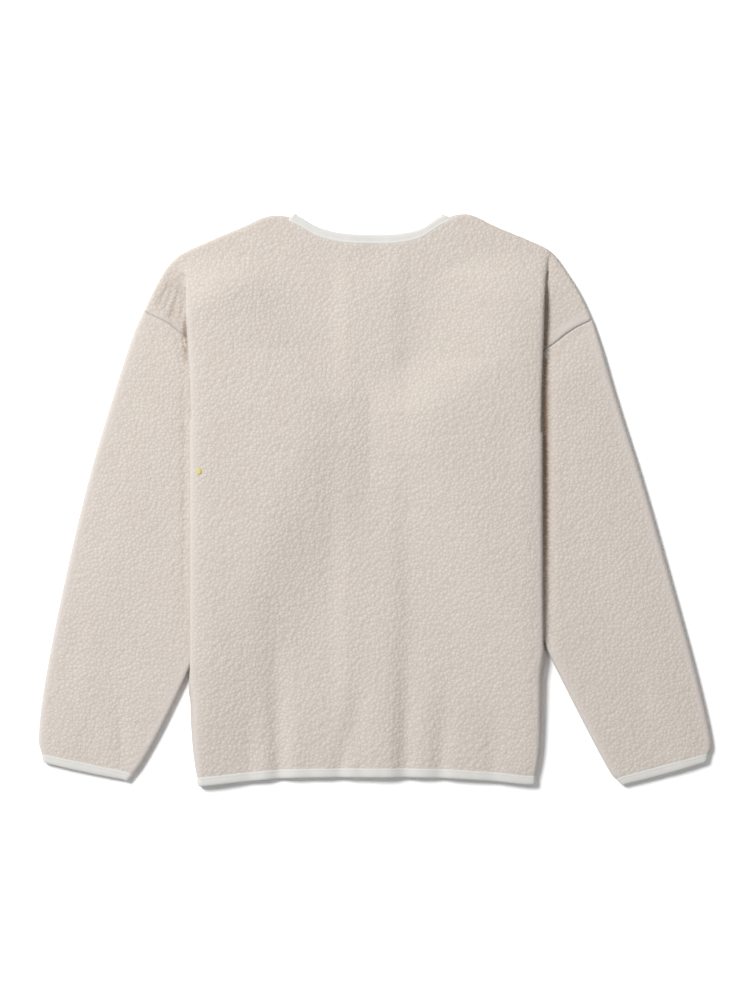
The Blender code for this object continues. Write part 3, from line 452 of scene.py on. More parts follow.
def soften(cloth, columns, times):
    """Evens out a band of columns, each place drawn towards its two neighbours."""
    for _ in range(times):
        block = cloth[:, columns.start - 1: columns.stop + 1]
        cloth[:, columns] = (block[:, :-2] + 2 * block[:, 1:-1] + block[:, 2:]) / 4


def add_side_rolls(cloth):
    """Below the underarm the back's edges roll under and end at the side seams."""
    for side, edge in (("left", FLANK), ("right", -FLANK - 1)):
        x, down, level = np.moveaxis(cloth[ROLL + PLEAT_ROWS + 1:, edge], -1, 0)
        low = under_level(x, down)
        radius = (level - low) / (1 + math.cos(LEAN))
        outward = SIGN[side]
        for k in range(1, ROLL + 1):
            angle = LEAN + (math.pi - LEAN) * min(1, k / ROLL_BEND)
            under = STRIP * max(0, k - ROLL_BEND) / (ROLL - ROLL_BEND)
            reach = radius * (math.sin(angle) - math.sin(LEAN)) - under
            spots = [x + outward * reach, down, low + radius * (1 + math.cos(angle))]
            column = edge + int(outward) * k
            cloth[ROLL + PLEAT_ROWS + 1:, column] = np.stack(spots, axis=1)


def add_shoulder_rolls(cloth):
    """Above the shoulder line the back rolls over the edge and ends at the shoulder seam."""
    reach = FLANK + SHOULDER_COLUMNS + 1
    for columns in (slice(0, reach), slice(-reach, None)):
        line = cloth[ROLL, columns]
        along = np.gradient(line[:, :2], axis=0)
        out = np.stack([along[:, 1], -along[:, 0]], axis=1)
        out /= np.linalg.norm(out, axis=1)[:, None]
        radius = ((line[:, 2] - LOW) / 2)[:, None]
        for k in range(1, ROLL + 1):
            angle = math.pi * min(1, k / ROLL_BEND)
            under = STRIP * max(0, k - ROLL_BEND) / (ROLL - ROLL_BEND)
            spots = line[:, :2] + out * (radius * math.sin(angle) - under)
            cloth[ROLL - k, columns] = np.hstack([spots, LOW + radius * (1 + math.cos(angle))])


def to_world(points):
    """Plan points and heights as row coordinates, with the box's middle at the origin."""
    x, down, z = np.moveaxis(points, -1, 0)
    return np.stack([x - (REACH["right"] - REACH["left"]) / 2, (TOP + FOOT) / 2 - down, z], axis=-1)


# Shares of the wall's and the pile's height in the first rows inside a panel's edge, where
# the seam presses them
EDGE_WALL = np.array([0.82, 0.92, 0.97, 1.0])
EDGE_PILE = np.array([0.5, 0.75, 0.9, 1.0])


def piece(name, points, faces):
    """A smooth piece with the given name, made from its points and faces."""
    mesh = bpy.data.meshes.new(name)
    mesh.from_pydata(points, [], faces)
    mesh.shade_smooth()
    thing = bpy.data.objects.new(name, mesh)
    bpy.context.scene.collection.objects.link(thing)
    return thing


def carry(thing, name, kind, values):
    """Stores an attribute on a piece's points."""
    field = "vector" if kind == "FLOAT_VECTOR" else "value"
    thing.data.attributes.new(name, kind, "POINT").data.foreach_set(field, values.reshape(-1))


def cloth_wall(name, cloth, ring=False, outward=1, pile=1.0):
    """A wall of cloth on its middle surface, with a fine outer face and a coarser inner one.

    cloth holds rows and columns of points, nan where there is none. pile scales the
    height of the pile. Two point attributes carry it and the share of painted shade on.
    """
    rows, columns = cloth.shape[:2]
    points = to_world(cloth).reshape(-1, 3)
    there = np.isfinite(points[:, 0])
    r = np.arange(rows - 1)[:, None]
    c = np.arange(columns if ring else columns - 1)[None, :]
    after = (c + 1) % columns
    corners = np.stack([r * columns + c, (r + 1) * columns + c,
                        (r + 1) * columns + after, r * columns + after], axis=-1)
    whole = there[corners].all(axis=-1)
    quads = corners[whole]
    if outward < 0:
        quads = quads[:, ::-1]
    facing = np.cross(points[quads[:, 2]] - points[quads[:, 0]],
                      points[quads[:, 3]] - points[quads[:, 1]])
    normal = np.zeros_like(points)
    touching = np.zeros(len(points), int)
    for k in range(4):
        np.add.at(normal, quads[:, k], facing)
        np.add.at(touching, quads[:, k], 1)
    normal /= np.maximum(np.linalg.norm(normal, axis=1), 1e-12)[:, None]
    inside = np.where(touching < 4, 0, 3).reshape(rows, columns)
    for k in range(3):
        around = np.pad(inside, ((1, 1), (0, 0)), mode="edge")
        near = np.minimum(around[:-2], around[2:])
        near = np.minimum(near, np.minimum(np.roll(inside, 1, 1), np.roll(inside, -1, 1)))
        inside = np.minimum(inside, near + 1)
    inside = inside.reshape(-1)
    used = there & (touching > 0)
    outer = np.full(len(points), -1)
    outer[used] = np.arange(used.sum())
    coarse = np.zeros((rows, columns), bool)
    coarse[::INNER, ::INNER] = True
    coarse = coarse.reshape(-1) & used
    inner = np.full(len(points), -1)
    inner[coarse] = used.sum() + np.arange(coarse.sum())
    spots = np.vstack([(points + normal * HALF * EDGE_WALL[inside][:, None])[used],
                       (points - normal * HALF)[coarse]])
    faces = [tuple(quad) for quad in outer[quads].tolist()]
    cells = {(int(i), int(j)) for i, j in zip(*np.nonzero(whole)) if not (i % INNER or j % INNER)}

    def at(i, j):
        return i * columns + j % columns

    for i, j in sorted(cells):
        n = INNER
        square = [at(i, j), at(i, j + n), at(i + n, j + n), at(i + n, j)]
        added = [tuple(inner[square].tolist())]
        sides = [((-n, 0), (i, j), (0, 1)), ((n, 0), (i + n, j + n), (0, -1)),
                 ((0, -n), (i + n, j), (-1, 0)), ((0, n), (i, j + n), (1, 0))]
        for (di, dj), (si, sj), (ri, rj) in sides:
            beside = (i + di, (j + dj) % columns if ring else j + dj)
            if beside in cells:
                continue
            edge = [at(si + ri * k, sj + rj * k) for k in range(n + 1)]
            first, last = int(inner[edge[0]]), int(inner[edge[-1]])
            for k in range(n):
                added.append((int(outer[edge[k]]), int(outer[edge[k + 1]]),
                              first if k < n // 2 else last))
            added.append((int(outer[edge[n // 2]]), last, first))
        faces += added if outward > 0 else [face[::-1] for face in added]
    thing = piece(name, spots.tolist(), faces)
    height = np.zeros(len(spots), np.float32)
    full = np.broadcast_to(pile, (rows, columns)).reshape(-1)
    height[: used.sum()] = (EDGE_PILE[inside] * full)[used]
    carry(thing, "pile", "FLOAT", height)
    # Painted shade: the share of a browner, darker colour in the slot and recess beside the folds
    painted_shade = np.zeros(len(spots), np.float32)
    shade_share = np.where(cloth[..., 2] > LOW + PILE, sunk(cloth[..., 0], cloth[..., 1], BACK_PAINTED_SHADE), 0)
    painted_shade[: used.sum()] = shade_share.reshape(-1)[used]
    carry(thing, "painted_shade", "FLOAT", painted_shade)
    return thing


def add(tree, kind, settings=None, inputs=None):
    """Adds a node: its own settings, and for each input a value or the output that feeds it."""
    made = tree.nodes.new(kind)
    for key, value in (settings or {}).items():
        setattr(made, key, value)
    for key, value in (inputs or {}).items():
        if isinstance(value, bpy.types.NodeSocket):
            tree.links.new(value, made.inputs[key])
        else:
            made.inputs[key].default_value = value
    return made


def paint(hex_colour):
    """An sRGB hex colour as the linear colour that a node takes."""
    parts = [int(hex_colour[k:k + 2], 16) / 255 for k in (1, 3, 5)]
    return (*[p / 12.92 if p <= 0.04045 else ((p + 0.055) / 1.055) ** 2.4 for p in parts], 1.0)


# Curls of pile, stirred out of even cells by a finer swirl, with narrow crevices between
TUFT = 4.2 * MM
STIR_SIZE = 3.4 * MM
STIR = 1.8 * MM
CREVICE = 0.13


def tufts(tree, place):
    """Height of the curled pile at a place and how far it lies out of the narrow crevices."""
    swirl = add(tree, "ShaderNodeTexNoise", {}, {"Vector": place, "Scale": 1 / STIR_SIZE,
                                                 "Detail": 1.0, "Roughness": 0.5})
    swirl = add(tree, "ShaderNodeVectorMath", {"operation": "SUBTRACT"},
                {0: swirl.outputs["Color"], 1: (0.5, 0.5, 0.5)})
    moved = add(tree, "ShaderNodeVectorMath", {"operation": "MULTIPLY_ADD"},
                {0: swirl.outputs[0], 1: (STIR, STIR, STIR), 2: place})
    cells = add(tree, "ShaderNodeTexVoronoi", {"feature": "F1"},
                {"Vector": moved.outputs[0], "Scale": 1 / TUFT, "Randomness": 1.0})
    rise = add(tree, "ShaderNodeMapRange", {}, {"Value": cells.outputs["Distance"],
                                                "From Min": 0.8, "From Max": 0.0})
    borders = add(tree, "ShaderNodeTexVoronoi", {"feature": "DISTANCE_TO_EDGE"},
                  {"Vector": moved.outputs[0], "Scale": 1 / TUFT, "Randomness": 1.0})
    clear = add(tree, "ShaderNodeMapRange", {"interpolation_type": "SMOOTHSTEP"},
                {"Value": borders.outputs["Distance"], "From Min": 0.0, "From Max": CREVICE})
    return rise.outputs["Result"], clear.outputs["Result"]


# Soft lumps in the pile, larger than one curl
LUMP = 7.0 * MM
LUMP_HEIGHT = 0.7 * MM


def pile_maker():
    """Geometry nodes that push a panel's pile into soft lumps and keep its bare surface.

    The material lays the single curls, which are 4 mm wide, on that bare surface.
    """
    tree = bpy.data.node_groups.new("curled_pile", "GeometryNodeTree")
    tree.interface.new_socket("Geometry", in_out="INPUT", socket_type="NodeSocketGeometry")
    tree.interface.new_socket("Geometry", in_out="OUTPUT", socket_type="NodeSocketGeometry")
    given = add(tree, "NodeGroupInput")
    place = add(tree, "GeometryNodeInputPosition")
    kept = add(tree, "GeometryNodeStoreNamedAttribute", {"data_type": "FLOAT_VECTOR", "domain": "POINT"},
               {"Geometry": given.outputs[0], "Name": "bare_place", "Value": place.outputs[0]})
    depth = add(tree, "GeometryNodeInputNamedAttribute", {"data_type": "FLOAT"}, {"Name": "pile"})
    lumps = add(tree, "ShaderNodeTexNoise", {}, {"Vector": place.outputs[0], "Scale": 1 / LUMP,
                                                 "Detail": 1.0, "Roughness": 0.5})
    rise = add(tree, "ShaderNodeMath", {"operation": "MULTIPLY_ADD"},
               {0: lumps.outputs["Fac"], 1: LUMP_HEIGHT, 2: -0.6 * LUMP_HEIGHT})
    rise = add(tree, "ShaderNodeMath", {"operation": "MULTIPLY"},
               {0: rise.outputs[0], 1: depth.outputs["Attribute"]})
    normal = add(tree, "GeometryNodeInputNormal")
    offset = add(tree, "ShaderNodeVectorMath", {"operation": "SCALE"},
                 {0: normal.outputs[0], "Scale": rise.outputs[0]})
    raised = add(tree, "GeometryNodeSetPosition", {},
                 {"Geometry": kept.outputs[0], "Offset": offset.outputs[0]})
    add(tree, "NodeGroupOutput", {}, {"Geometry": raised.outputs[0]})
    return tree


def blank_material(name):
    """A new material with its node tree and its shader."""
    made = bpy.data.materials.new(name)
    made.use_nodes = True
    return made, made.node_tree, made.node_tree.nodes["Principled BSDF"]


def sherpa_fleece():
    """Oatmeal polyester sherpa: matt curls 4 mm across, with painted shade in the narrow crevices
    between.

    The curls give the eye a fine even grain that flattens where the cloth folds. Where the pile
    lies flat the colour turns a lighter grey, partly the flat pile's own tone and partly painted
    sheen of pile seen edge-on; painted shade in brown darkens the slot and recess beside the folds.
    """
    made, tree, shader = blank_material("polyester_sherpa_fleece")
    place = add(tree, "ShaderNodeAttribute", {"attribute_name": "bare_place"}).outputs["Vector"]
    stand = add(tree, "ShaderNodeAttribute", {"attribute_name": "pile"}).outputs["Fac"]
    curls, clear = tufts(tree, place)
    fibre = add(tree, "ShaderNodeTexNoise", {}, {"Vector": place, "Scale": 1 / (1.3 * MM),
                                                 "Detail": 2.0, "Roughness": 0.6})
    patch = add(tree, "ShaderNodeTexNoise", {}, {"Vector": place, "Scale": 1 / (34 * MM), "Detail": 2.0})
    tone = add(tree, "ShaderNodeMix", {"data_type": "RGBA"},
               {"Factor": patch.outputs["Fac"], 6: paint("#c2b9b1"), 7: paint("#c8c0b8")})
    # Painted shade: the crevices between the curls are darkened towards #bbb1a8
    colour = add(tree, "ShaderNodeMix", {"data_type": "RGBA"},
                 {"Factor": clear, 6: paint("#bbb1a8"), 7: tone.outputs[2]})
    # Where the pile lies flat the colour turns a lighter grey, #c5bfba: partly the flat pile's own tone,
    # partly painted sheen of pile seen edge-on over the folds
    pressed = add(tree, "ShaderNodeMath", {"operation": "MULTIPLY_ADD", "use_clamp": True},
                  {0: stand, 1: -0.8, 2: 0.8})
    colour = add(tree, "ShaderNodeMix", {"data_type": "RGBA"},
                 {"Factor": pressed.outputs[0], 6: colour.outputs[2], 7: paint("#c5bfba")})
    # Painted shade: dark brown #8d7766, with a ragged edge, where the folds shade the slot and recess
    # beside them
    painted_shade = add(tree, "ShaderNodeAttribute", {"attribute_name": "painted_shade"}).outputs["Fac"]
    drawn = add(tree, "ShaderNodeVectorMath", {"operation": "MULTIPLY"},
                {0: place, 1: (0.35, 1.0, 0.35)})
    ragged = add(tree, "ShaderNodeTexNoise", {}, {"Vector": drawn.outputs[0], "Scale": 1 / (1.7 * MM),
                                                  "Detail": 2.0, "Roughness": 0.7})
    bare = add(tree, "ShaderNodeMath", {"operation": "MULTIPLY_ADD"},
               {0: ragged.outputs["Fac"], 1: 2.0, 2: -1.0})
    bare = add(tree, "ShaderNodeMath", {"operation": "ADD", "use_clamp": True},
               {0: bare.outputs[0], 1: painted_shade})
    bare = add(tree, "ShaderNodeMath", {"operation": "MULTIPLY"}, {0: bare.outputs[0], 1: painted_shade})
    colour = add(tree, "ShaderNodeMix", {"data_type": "RGBA"},
                 {"Factor": bare.outputs[0], 6: colour.outputs[2], 7: paint("#8d7766")})
    relief = add(tree, "ShaderNodeMath", {"operation": "MULTIPLY_ADD"},
                 {0: fibre.outputs["Fac"], 1: 0.3, 2: curls})
    relief = add(tree, "ShaderNodeMath", {"operation": "MULTIPLY_ADD"},
                 {0: clear, 1: 0.12, 2: relief.outputs[0]})
    relief = add(tree, "ShaderNodeMath", {"operation": "MULTIPLY"}, {0: relief.outputs[0], 1: stand})
    bump = add(tree, "ShaderNodeBump", {}, {"Height": relief.outputs[0], "Strength": 0.5,
                                            "Distance": 1.2 * MM})
    tree.links.new(colour.outputs[2], shader.inputs["Base Color"])
    tree.links.new(bump.outputs["Normal"], shader.inputs["Normal"])
    shader.inputs["Roughness"].default_value = 0.95
    shader.inputs["Specular IOR Level"].default_value = 0.25
    shader.inputs["Sheen Weight"].default_value = 0.12
    shader.inputs["Sheen Roughness"].default_value = 0.5
    shader.inputs["Sheen Tint"].default_value = paint("#f4f1f0")
    return made


fleece = sherpa_fleece()
curled_pile = pile_maker()


def dress(thing, node_name, slot, material):
    """Gives a piece its material and puts it in the place of its CAD node."""
    thing.data.materials.clear()
    thing.data.materials.append(material)
    if slot == "fleece":
        grown = thing.modifiers.new("pile", "NODES")
        grown.node_group = curled_pile
        bpy.context.view_layer.update()
        graph = bpy.context.evaluated_depsgraph_get()
        bare = thing.data
        thing.data = bpy.data.meshes.new_from_object(thing.evaluated_get(graph))
        thing.modifiers.clear()
        bpy.data.meshes.remove(bare)
    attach(thing, "root")
    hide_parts(node_name)
    return thing


back = back_cloth()
back_wall = cloth_wall("back_cloth", back, pile=back_pile())
back_piece = dress(back_wall, "back_panel", "fleece", fleece)

# Sleeves: each one piece of the same fleece, sewn into a tube with an underarm seam and
# set to the dropped armhole. They lie flat, with their inner halves under the body.
SLEEVE_RISE = 45.0 * MM
CROWN = 0.8 * MM
SLEEVE_ROWS = 272
SLEEVE_TOP, SLEEVE_BEND, SLEEVE_UNDER = 84, 8, 36
# Creases in the upper half of each sleeve, and in the half that it lies on
TOP_CREASES = {
    "left": [Crease([(-212.6, 136.2), (-210.9, 152.2), (-210.3, 172)], 1.4, 3),
             Crease([(-220.6, 139.7), (-216.5, 153.3), (-215.2, 172)], 0.9, 2.6),
             Crease([(-211, 165), (-210.5, 300), (-211, 470)], 1.0, 4.5),
             Crease([(-286.7, 566), (-283.3, 600.2), (-279.9, 632)], 1.2, 8),
             Crease([(-330, 470), (-338, 510), (-336, 545)], 0.6, 12)],
    "right": [Crease([(202.5, 148), (202.5, 292), (204, 440), (204, 500)], 3.0, 6),
              Crease([(262, 127), (248, 133), (234, 141), (217, 154)], 0.5, 5),
              Crease([(300, 520), (312, 560), (311, 600)], 0.6, 12)],
}
UNDER_CREASES = {
    "left": [Crease([(-300, 520), (-296, 570), (-290, 610)], 0.9, 8),
             Crease([(-150, 230), (-185, 300), (-200, 350)], 0.8, 10),
             Crease([(-262, 300), (-275, 350)], 0.6, 7)],
    "right": [Crease([(310, 500), (322, 560), (318, 610)], 0.9, 9),
              Crease([(165, 260), (190, 320), (215, 390)], 0.7, 9),
              Crease([(245, 240), (262, 300)], 0.8, 6)],
}
# How far the under half of each sleeve shows beyond the upper one at the cuff
CUFF_SLIP = {"left": 1.4 * MM, "right": 0.6 * MM}
CUFF_SLIP_ROWS = 56


def point_at(path, share):
    """The places at shares of an evenly spaced path."""
    at = share * (len(path) - 1)
    return np.stack([np.interp(at, range(len(path)), path[:, k]) for k in (0, 1)], axis=-1)


def sleeve_cloth(side):
    """The middle of a sleeve's wall: a flattened tube, one ring of points for each row."""
    sign = SIGN[side]
    outer = curve([(sign * s.outer_out * MM, s.outer_down * MM) for s in SLEEVE[side]])
    inner = curve([(sign * s.inner_out * MM, s.inner_down * MM) for s in SLEEVE[side]])
    outer, inner = spaced(outer, SLEEVE_ROWS), spaced(inner, SLEEVE_ROWS)
    seam = spaced(curve(pleat_seam(side)), 100)
    bow = seam - spaced(seam[[0, -1]], 100)
    rings = []
    for i in range(SLEEVE_ROWS + 1):
        travelled = np.linalg.norm(outer[i] - outer[0])
        high = SHOULDER + (SLEEVE_THICK - HALF - SHOULDER) * smooth(travelled / SLEEVE_RISE)
        radius = (high - LOW) / 2
        across = spaced(np.array([outer[i], inner[i]]), 100)
        across = across + bow * (1 - smooth(travelled / SLEEVE_RISE))
        width = np.linalg.norm(across[-1] - across[0])
        ease = (radius + HALF) / width
        unit = (across[-1] - across[0]) / width
        top_at = np.linspace(ease, 1 - ease, SLEEVE_TOP + 1)
        crown = CROWN * np.sin(math.pi * np.minimum(1, top_at / 0.55)) ** 2
        crown = crown * smooth(travelled / SLEEVE_RISE)
        angle = math.pi * np.arange(1, SLEEVE_BEND)[:, None] / SLEEVE_BEND
        under_at = np.linspace(1 - ease, ease, SLEEVE_UNDER + 1)
        middle = LOW + radius
        rings.append(np.vstack([
            np.column_stack([point_at(across, top_at), high + crown]),
            np.hstack([point_at(across, 1 - ease) + unit * radius * np.sin(angle),
                       middle + radius * np.cos(angle)]),
            np.column_stack([point_at(across, under_at), np.full(len(under_at), LOW)]),
            np.hstack([point_at(across, ease) - unit * radius * np.sin(angle),
                       middle - radius * np.cos(angle)])]))
    cloth = np.array(rings)
    x, down = cloth[..., 0], cloth[..., 1]
    upper = np.zeros(cloth.shape[:2], bool)
    upper[:, : SLEEVE_TOP + 1] = True
    pressed_in, pressed_up = sunk(x, down, TOP_CREASES[side]), sunk(x, down, UNDER_CREASES[side])
    cloth[..., 2] += np.where(upper, -pressed_in, pressed_up)
    # The half underneath shows a little below the other one at the inner end of the cuff
    below = np.zeros(cloth.shape[1])
    first = SLEEVE_TOP + SLEEVE_BEND // 2
    below[first: first + SLEEVE_UNDER] = np.linspace(1, 0, SLEEVE_UNDER) ** 0.7
    below[SLEEVE_TOP:first] = np.linspace(0, 1, first - SLEEVE_TOP + 1)[1:]
    grown = smooth((np.arange(SLEEVE_ROWS + 1) - SLEEVE_ROWS + CUFF_SLIP_ROWS) / CUFF_SLIP_ROWS)
    along = inner[-1] - inner[-2] + outer[-1] - outer[-2]
    along /= np.linalg.norm(along)
    cloth[..., :2] += CUFF_SLIP[side] * (grown[:, None] * below)[..., None] * along
    return cloth


def sleeve_pile():
    """How full the pile stands round a sleeve: it lies flatter over its two folds."""
    columns = SLEEVE_TOP + SLEEVE_UNDER + 2 * SLEEVE_BEND
    folds = np.array([-SLEEVE_BEND // 2, SLEEVE_TOP + SLEEVE_BEND // 2, columns - SLEEVE_BEND // 2])
    from_fold = abs(np.arange(columns)[:, None] - folds).min(axis=1)
    return np.tile(0.35 + 0.65 * smooth((from_fold - 2) / 8), (SLEEVE_ROWS + 1, 1))


sleeves = {side: sleeve_cloth(side) for side in SIGN}
for side in SIGN:
    wall = cloth_wall(f"sleeve_cloth_{side}", sleeves[side], True, -SIGN[side], sleeve_pile())
    dress(wall, f"sleeve_{side}", "fleece", fleece)

# Fronts: two panels of the same fleece under the back, the lowest layer on the surface.
# The left one laps over the right one's inner face, where the snaps close them.
OVERLAP_LEVEL = LOW + PILE + SEAM
OVERLAP_RUN = 22.0 * MM
FRONT_EDGE = OVERLAP - BINDING_WIDTH - SEAM
SIDE_GAP = 1.2 * MM
MIN_SIDE = 10.0 * MM
FRONT_UNDERARM = 4.0 * MM
FRONT_NECK = [Spot(88, 14), Spot(86, 32), Spot(78, 62), Spot(56, 88), Spot(30, 101),
              Spot(-FRONT_EDGE / MM, 105)]
NECK_TURN = 2
YOKE_ROWS, ARMHOLE_ROWS, FRONT_SIDE_ROWS = 28, 44, 148
YOKE_COLUMNS, LOW_NECK_COLUMNS = 40, 24
SLOPE_COLUMNS, FRONT_OUTER_COLUMNS = 8, 8
# Creases pressed up into the faces that the jacket lies on
FRONT_CREASES = {
    "left": [Crease([(-148, 640), (-142, 560), (-146, 500)], 1.0, 9),
             Crease([(-96, 640), (-99, 590), (-92, 530)], 1.3, 7),
             Crease([(-60, 330), (-84, 380), (-88, 450)], 0.7, 10)],
    "right": [Crease([(70, 640), (76, 570), (72, 520)], 1.2, 8),
              Crease([(128, 640), (124, 600)], 0.9, 7),
              Crease([(58, 230), (92, 280), (104, 350)], 0.8, 11)],
}


def front_level(x, down, side):
    """The middle of a front: the left one climbs over the right one at the opening."""
    level = np.where(down > PLEAT[side][-1].fold_down * MM, under_level(x, down), LOW)
    if side == "left":
        climb = smooth((x + OVERLAP + SEAM + OVERLAP_RUN) / OVERLAP_RUN)
        level = level + (OVERLAP_LEVEL - LOW) * climb
    return level


def front_cloth(side):
    """The middle of a front's wall, its columns from beyond the side slope to the opening."""
    sign = SIGN[side]
    centre = np.array([0.0, 300 * MM])
    columns = YOKE_COLUMNS + LOW_NECK_COLUMNS
    outside = SLOPE_COLUMNS + FRONT_OUTER_COLUMNS
    shoulder_inset = HALF + (SHOULDER_EDGE - LOW) / 2 + STRIP + SIDE_GAP
    shoulder = inset(curve(plan(SHOULDER_LINE[side], side)), shoulder_inset, centre)
    neck = curve(plan(FRONT_NECK, side))
    side_neck, low_neck = neck[: NECK_TURN * FINE + 1], neck[NECK_TURN * FINE:]
    shoulder = spaced(np.vstack([shoulder[::-1], neck[:1]]), YOKE_COLUMNS)
    armhole = curve(pleat_seam(side))
    last_pleat = PLEAT[side][-1]
    underarm = np.array([sign * (last_pleat.seam_out * MM - TUCK_RUN),
                         last_pleat.fold_down * MM + FRONT_UNDERARM])
    first = int(np.argmin(np.linalg.norm(armhole - shoulder[0], axis=1)))
    armhole = np.vstack([shoulder[:1], armhole[first + FINE // 4:-FINE], [underarm]])
    armhole = spaced(armhole, YOKE_ROWS + ARMHOLE_ROWS)
    yoke_side, low_side = armhole[: YOKE_ROWS + 1], armhole[YOKE_ROWS:]
    across_yoke = spaced(np.array([yoke_side[-1], side_neck[-1]]), YOKE_COLUMNS)
    across_chest = np.vstack([across_yoke, spaced(low_neck, LOW_NECK_COLUMNS)[1:]])
    front_edge = spaced(np.array([neck[-1], [neck[-1][0], underarm[1]]]), ARMHOLE_ROWS)
    outs = np.linspace(abs(underarm[0]), -FRONT_EDGE, columns + 1)
    across = np.column_stack([sign * outs, np.full(columns + 1, underarm[1])])
    yoke = coons(shoulder, across_yoke, yoke_side, spaced(side_neck, YOKE_ROWS))
    chest = coons(across_chest, across, low_side, front_edge)
    cloth = np.full((YOKE_ROWS + ARMHOLE_ROWS + FRONT_SIDE_ROWS + 1, outside + columns + 1, 3), np.nan)
    cloth[: YOKE_ROWS + 1, outside: outside + YOKE_COLUMNS + 1, :2] = yoke
    cloth[YOKE_ROWS: YOKE_ROWS + ARMHOLE_ROWS + 1, outside:, :2] = chest
    line = curve(plan(SIDE_LINE[side], side))
    top = np.array([np.interp(underarm[1], line[:, 1], line[:, 0]), underarm[1]])
    line = spaced(np.vstack([top, line[line[:, 1] > underarm[1]]]), FRONT_SIDE_ROWS)
    hem = curve(plan(HEM_LINE))
    for i, fold in enumerate(line):
        fold_down = fold[1]
        level = back_level(*fold, shoulder_down(fold[0]))
        roll = HALF + (level - under_level(*fold)) * ROLL_SHARE
        side_x = abs(fold[0]) - roll - STRIP - SIDE_GAP
        top_of_slope = min(sleeve_inner_out(fold_down, side) - SLOPE_CLEAR, side_x - MIN_SIDE)
        start = top_of_slope - TUCK_RUN
        outs = np.concatenate([np.linspace(side_x, top_of_slope, FRONT_OUTER_COLUMNS + 1)[:-1],
                               np.linspace(top_of_slope, start, SLOPE_COLUMNS + 1)[:-1],
                               np.linspace(start, -FRONT_EDGE, columns + 1)])
        sag = np.interp(sign * outs, hem[:, 0], hem[:, 1]) - line[-1][1]
        spots = [sign * outs, fold_down + sag * (i / FRONT_SIDE_ROWS) ** 3]
        cloth[YOKE_ROWS + ARMHOLE_ROWS + i, :, :2] = np.stack(spots, axis=1)
    x, down = cloth[..., 0], cloth[..., 1]
    cloth[..., 2] = front_level(x, down, side) + sunk(x, down, FRONT_CREASES[side])
    cloth[np.isnan(x), 2] = np.nan
    return cloth


fronts = {side: front_cloth(side) for side in SIGN}
for side in SIGN:
    wall = cloth_wall(f"front_cloth_{side}", fronts[side], outward=SIGN[side])
    dress(wall, f"front_{side}", "fleece", fleece)

# Bound edges: strips of off-white cotton jersey, folded in half round the raw fleece edges
# of the neck, hem, cuffs and fronts and held by one row of stitching beside the fleece.
BAND_TOP = [(-2.0, 1.0), (-1.4, 1.6), (-0.6, 1.85), (0.2, 1.75), (0.9, 1.6), (2.2, 1.62),
            (4.0, 1.66), (5.8, 1.62), (7.3, 1.4), (8.3, 1.0), (8.85, 0.5)]
BAND_FOLD = (9.0, 0.0)
STITCH_LINE = 0.4 * MM
STITCH_LIFT = 1.72 * MM
STITCH_LENGTH, STITCH_PITCH, STITCH_RADIUS = 2.3 * MM, 3.0 * MM, 0.3 * MM
STITCH_SIDES = 5


def cotton_jersey():
    """Off-white cotton jersey: fine upright ribs of knit, 1.1 mm apart, soft and matt."""
    made, tree, shader = blank_material("cotton_jersey_binding")
    run = add(tree, "ShaderNodeAttribute", {"attribute_name": "run"}).outputs["Vector"]
    ribs = add(tree, "ShaderNodeTexWave", {"wave_type": "BANDS", "bands_direction": "X"},
               {"Vector": run, "Scale": 1 / (2 * math.pi * 1.1 * MM) * 2, "Distortion": 0.6,
                "Detail": 1.0, "Detail Scale": 2.0})
    patch = add(tree, "ShaderNodeTexNoise", {}, {"Vector": run, "Scale": 1 / (9 * MM), "Detail": 2.0})
    tone = add(tree, "ShaderNodeMix", {"data_type": "RGBA"},
               {"Factor": patch.outputs["Fac"], 6: paint("#c6c4bf"), 7: paint("#d0cecb")})
    bump = add(tree, "ShaderNodeBump", {}, {"Height": ribs.outputs["Fac"], "Strength": 0.35,
                                            "Distance": 0.2 * MM})
    tree.links.new(tone.outputs[2], shader.inputs["Base Color"])
    tree.links.new(bump.outputs["Normal"], shader.inputs["Normal"])
    shader.inputs["Roughness"].default_value = 0.85
    shader.inputs["Specular IOR Level"].default_value = 0.3
    shader.inputs["Sheen Weight"].default_value = 0.15
    return made


def cotton_thread(name, hex_colour):
    """Spun cotton thread: plain in colour, with a dull gleam along each stitch."""
    made, tree, shader = blank_material(name)
    place = add(tree, "ShaderNodeTexCoord").outputs["Object"]
    twist = add(tree, "ShaderNodeTexNoise", {},
                {"Vector": place, "Scale": 1 / (0.5 * MM), "Detail": 1.0})
    bump = add(tree, "ShaderNodeBump", {}, {"Height": twist.outputs["Fac"], "Strength": 0.4,
                                            "Distance": 0.1 * MM})
    dark = paint(hex_colour)
    tone = add(tree, "ShaderNodeMix", {"data_type": "RGBA"},
               {"Factor": twist.outputs["Fac"], 6: (*[0.86 * c for c in dark[:3]], 1.0), 7: dark})
    tree.links.new(tone.outputs[2], shader.inputs["Base Color"])
    tree.links.new(bump.outputs["Normal"], shader.inputs["Normal"])
    shader.inputs["Roughness"].default_value = 0.6
    return made


jersey = cotton_jersey()
white_thread = cotton_thread("white_cotton_thread", "#f1efe9")


def settled(vectors, closed, reach):
    """Unit vectors, each averaged with its neighbours along a run."""
    for _ in range(reach):
        ends = "wrap" if closed else "edge"
        around = np.pad(vectors, ((1, 1), (0, 0)), mode=ends)
        vectors = (around[:-2] + around[1:-1] + around[2:]) / 3
    return vectors / np.linalg.norm(vectors, axis=1)[:, None]


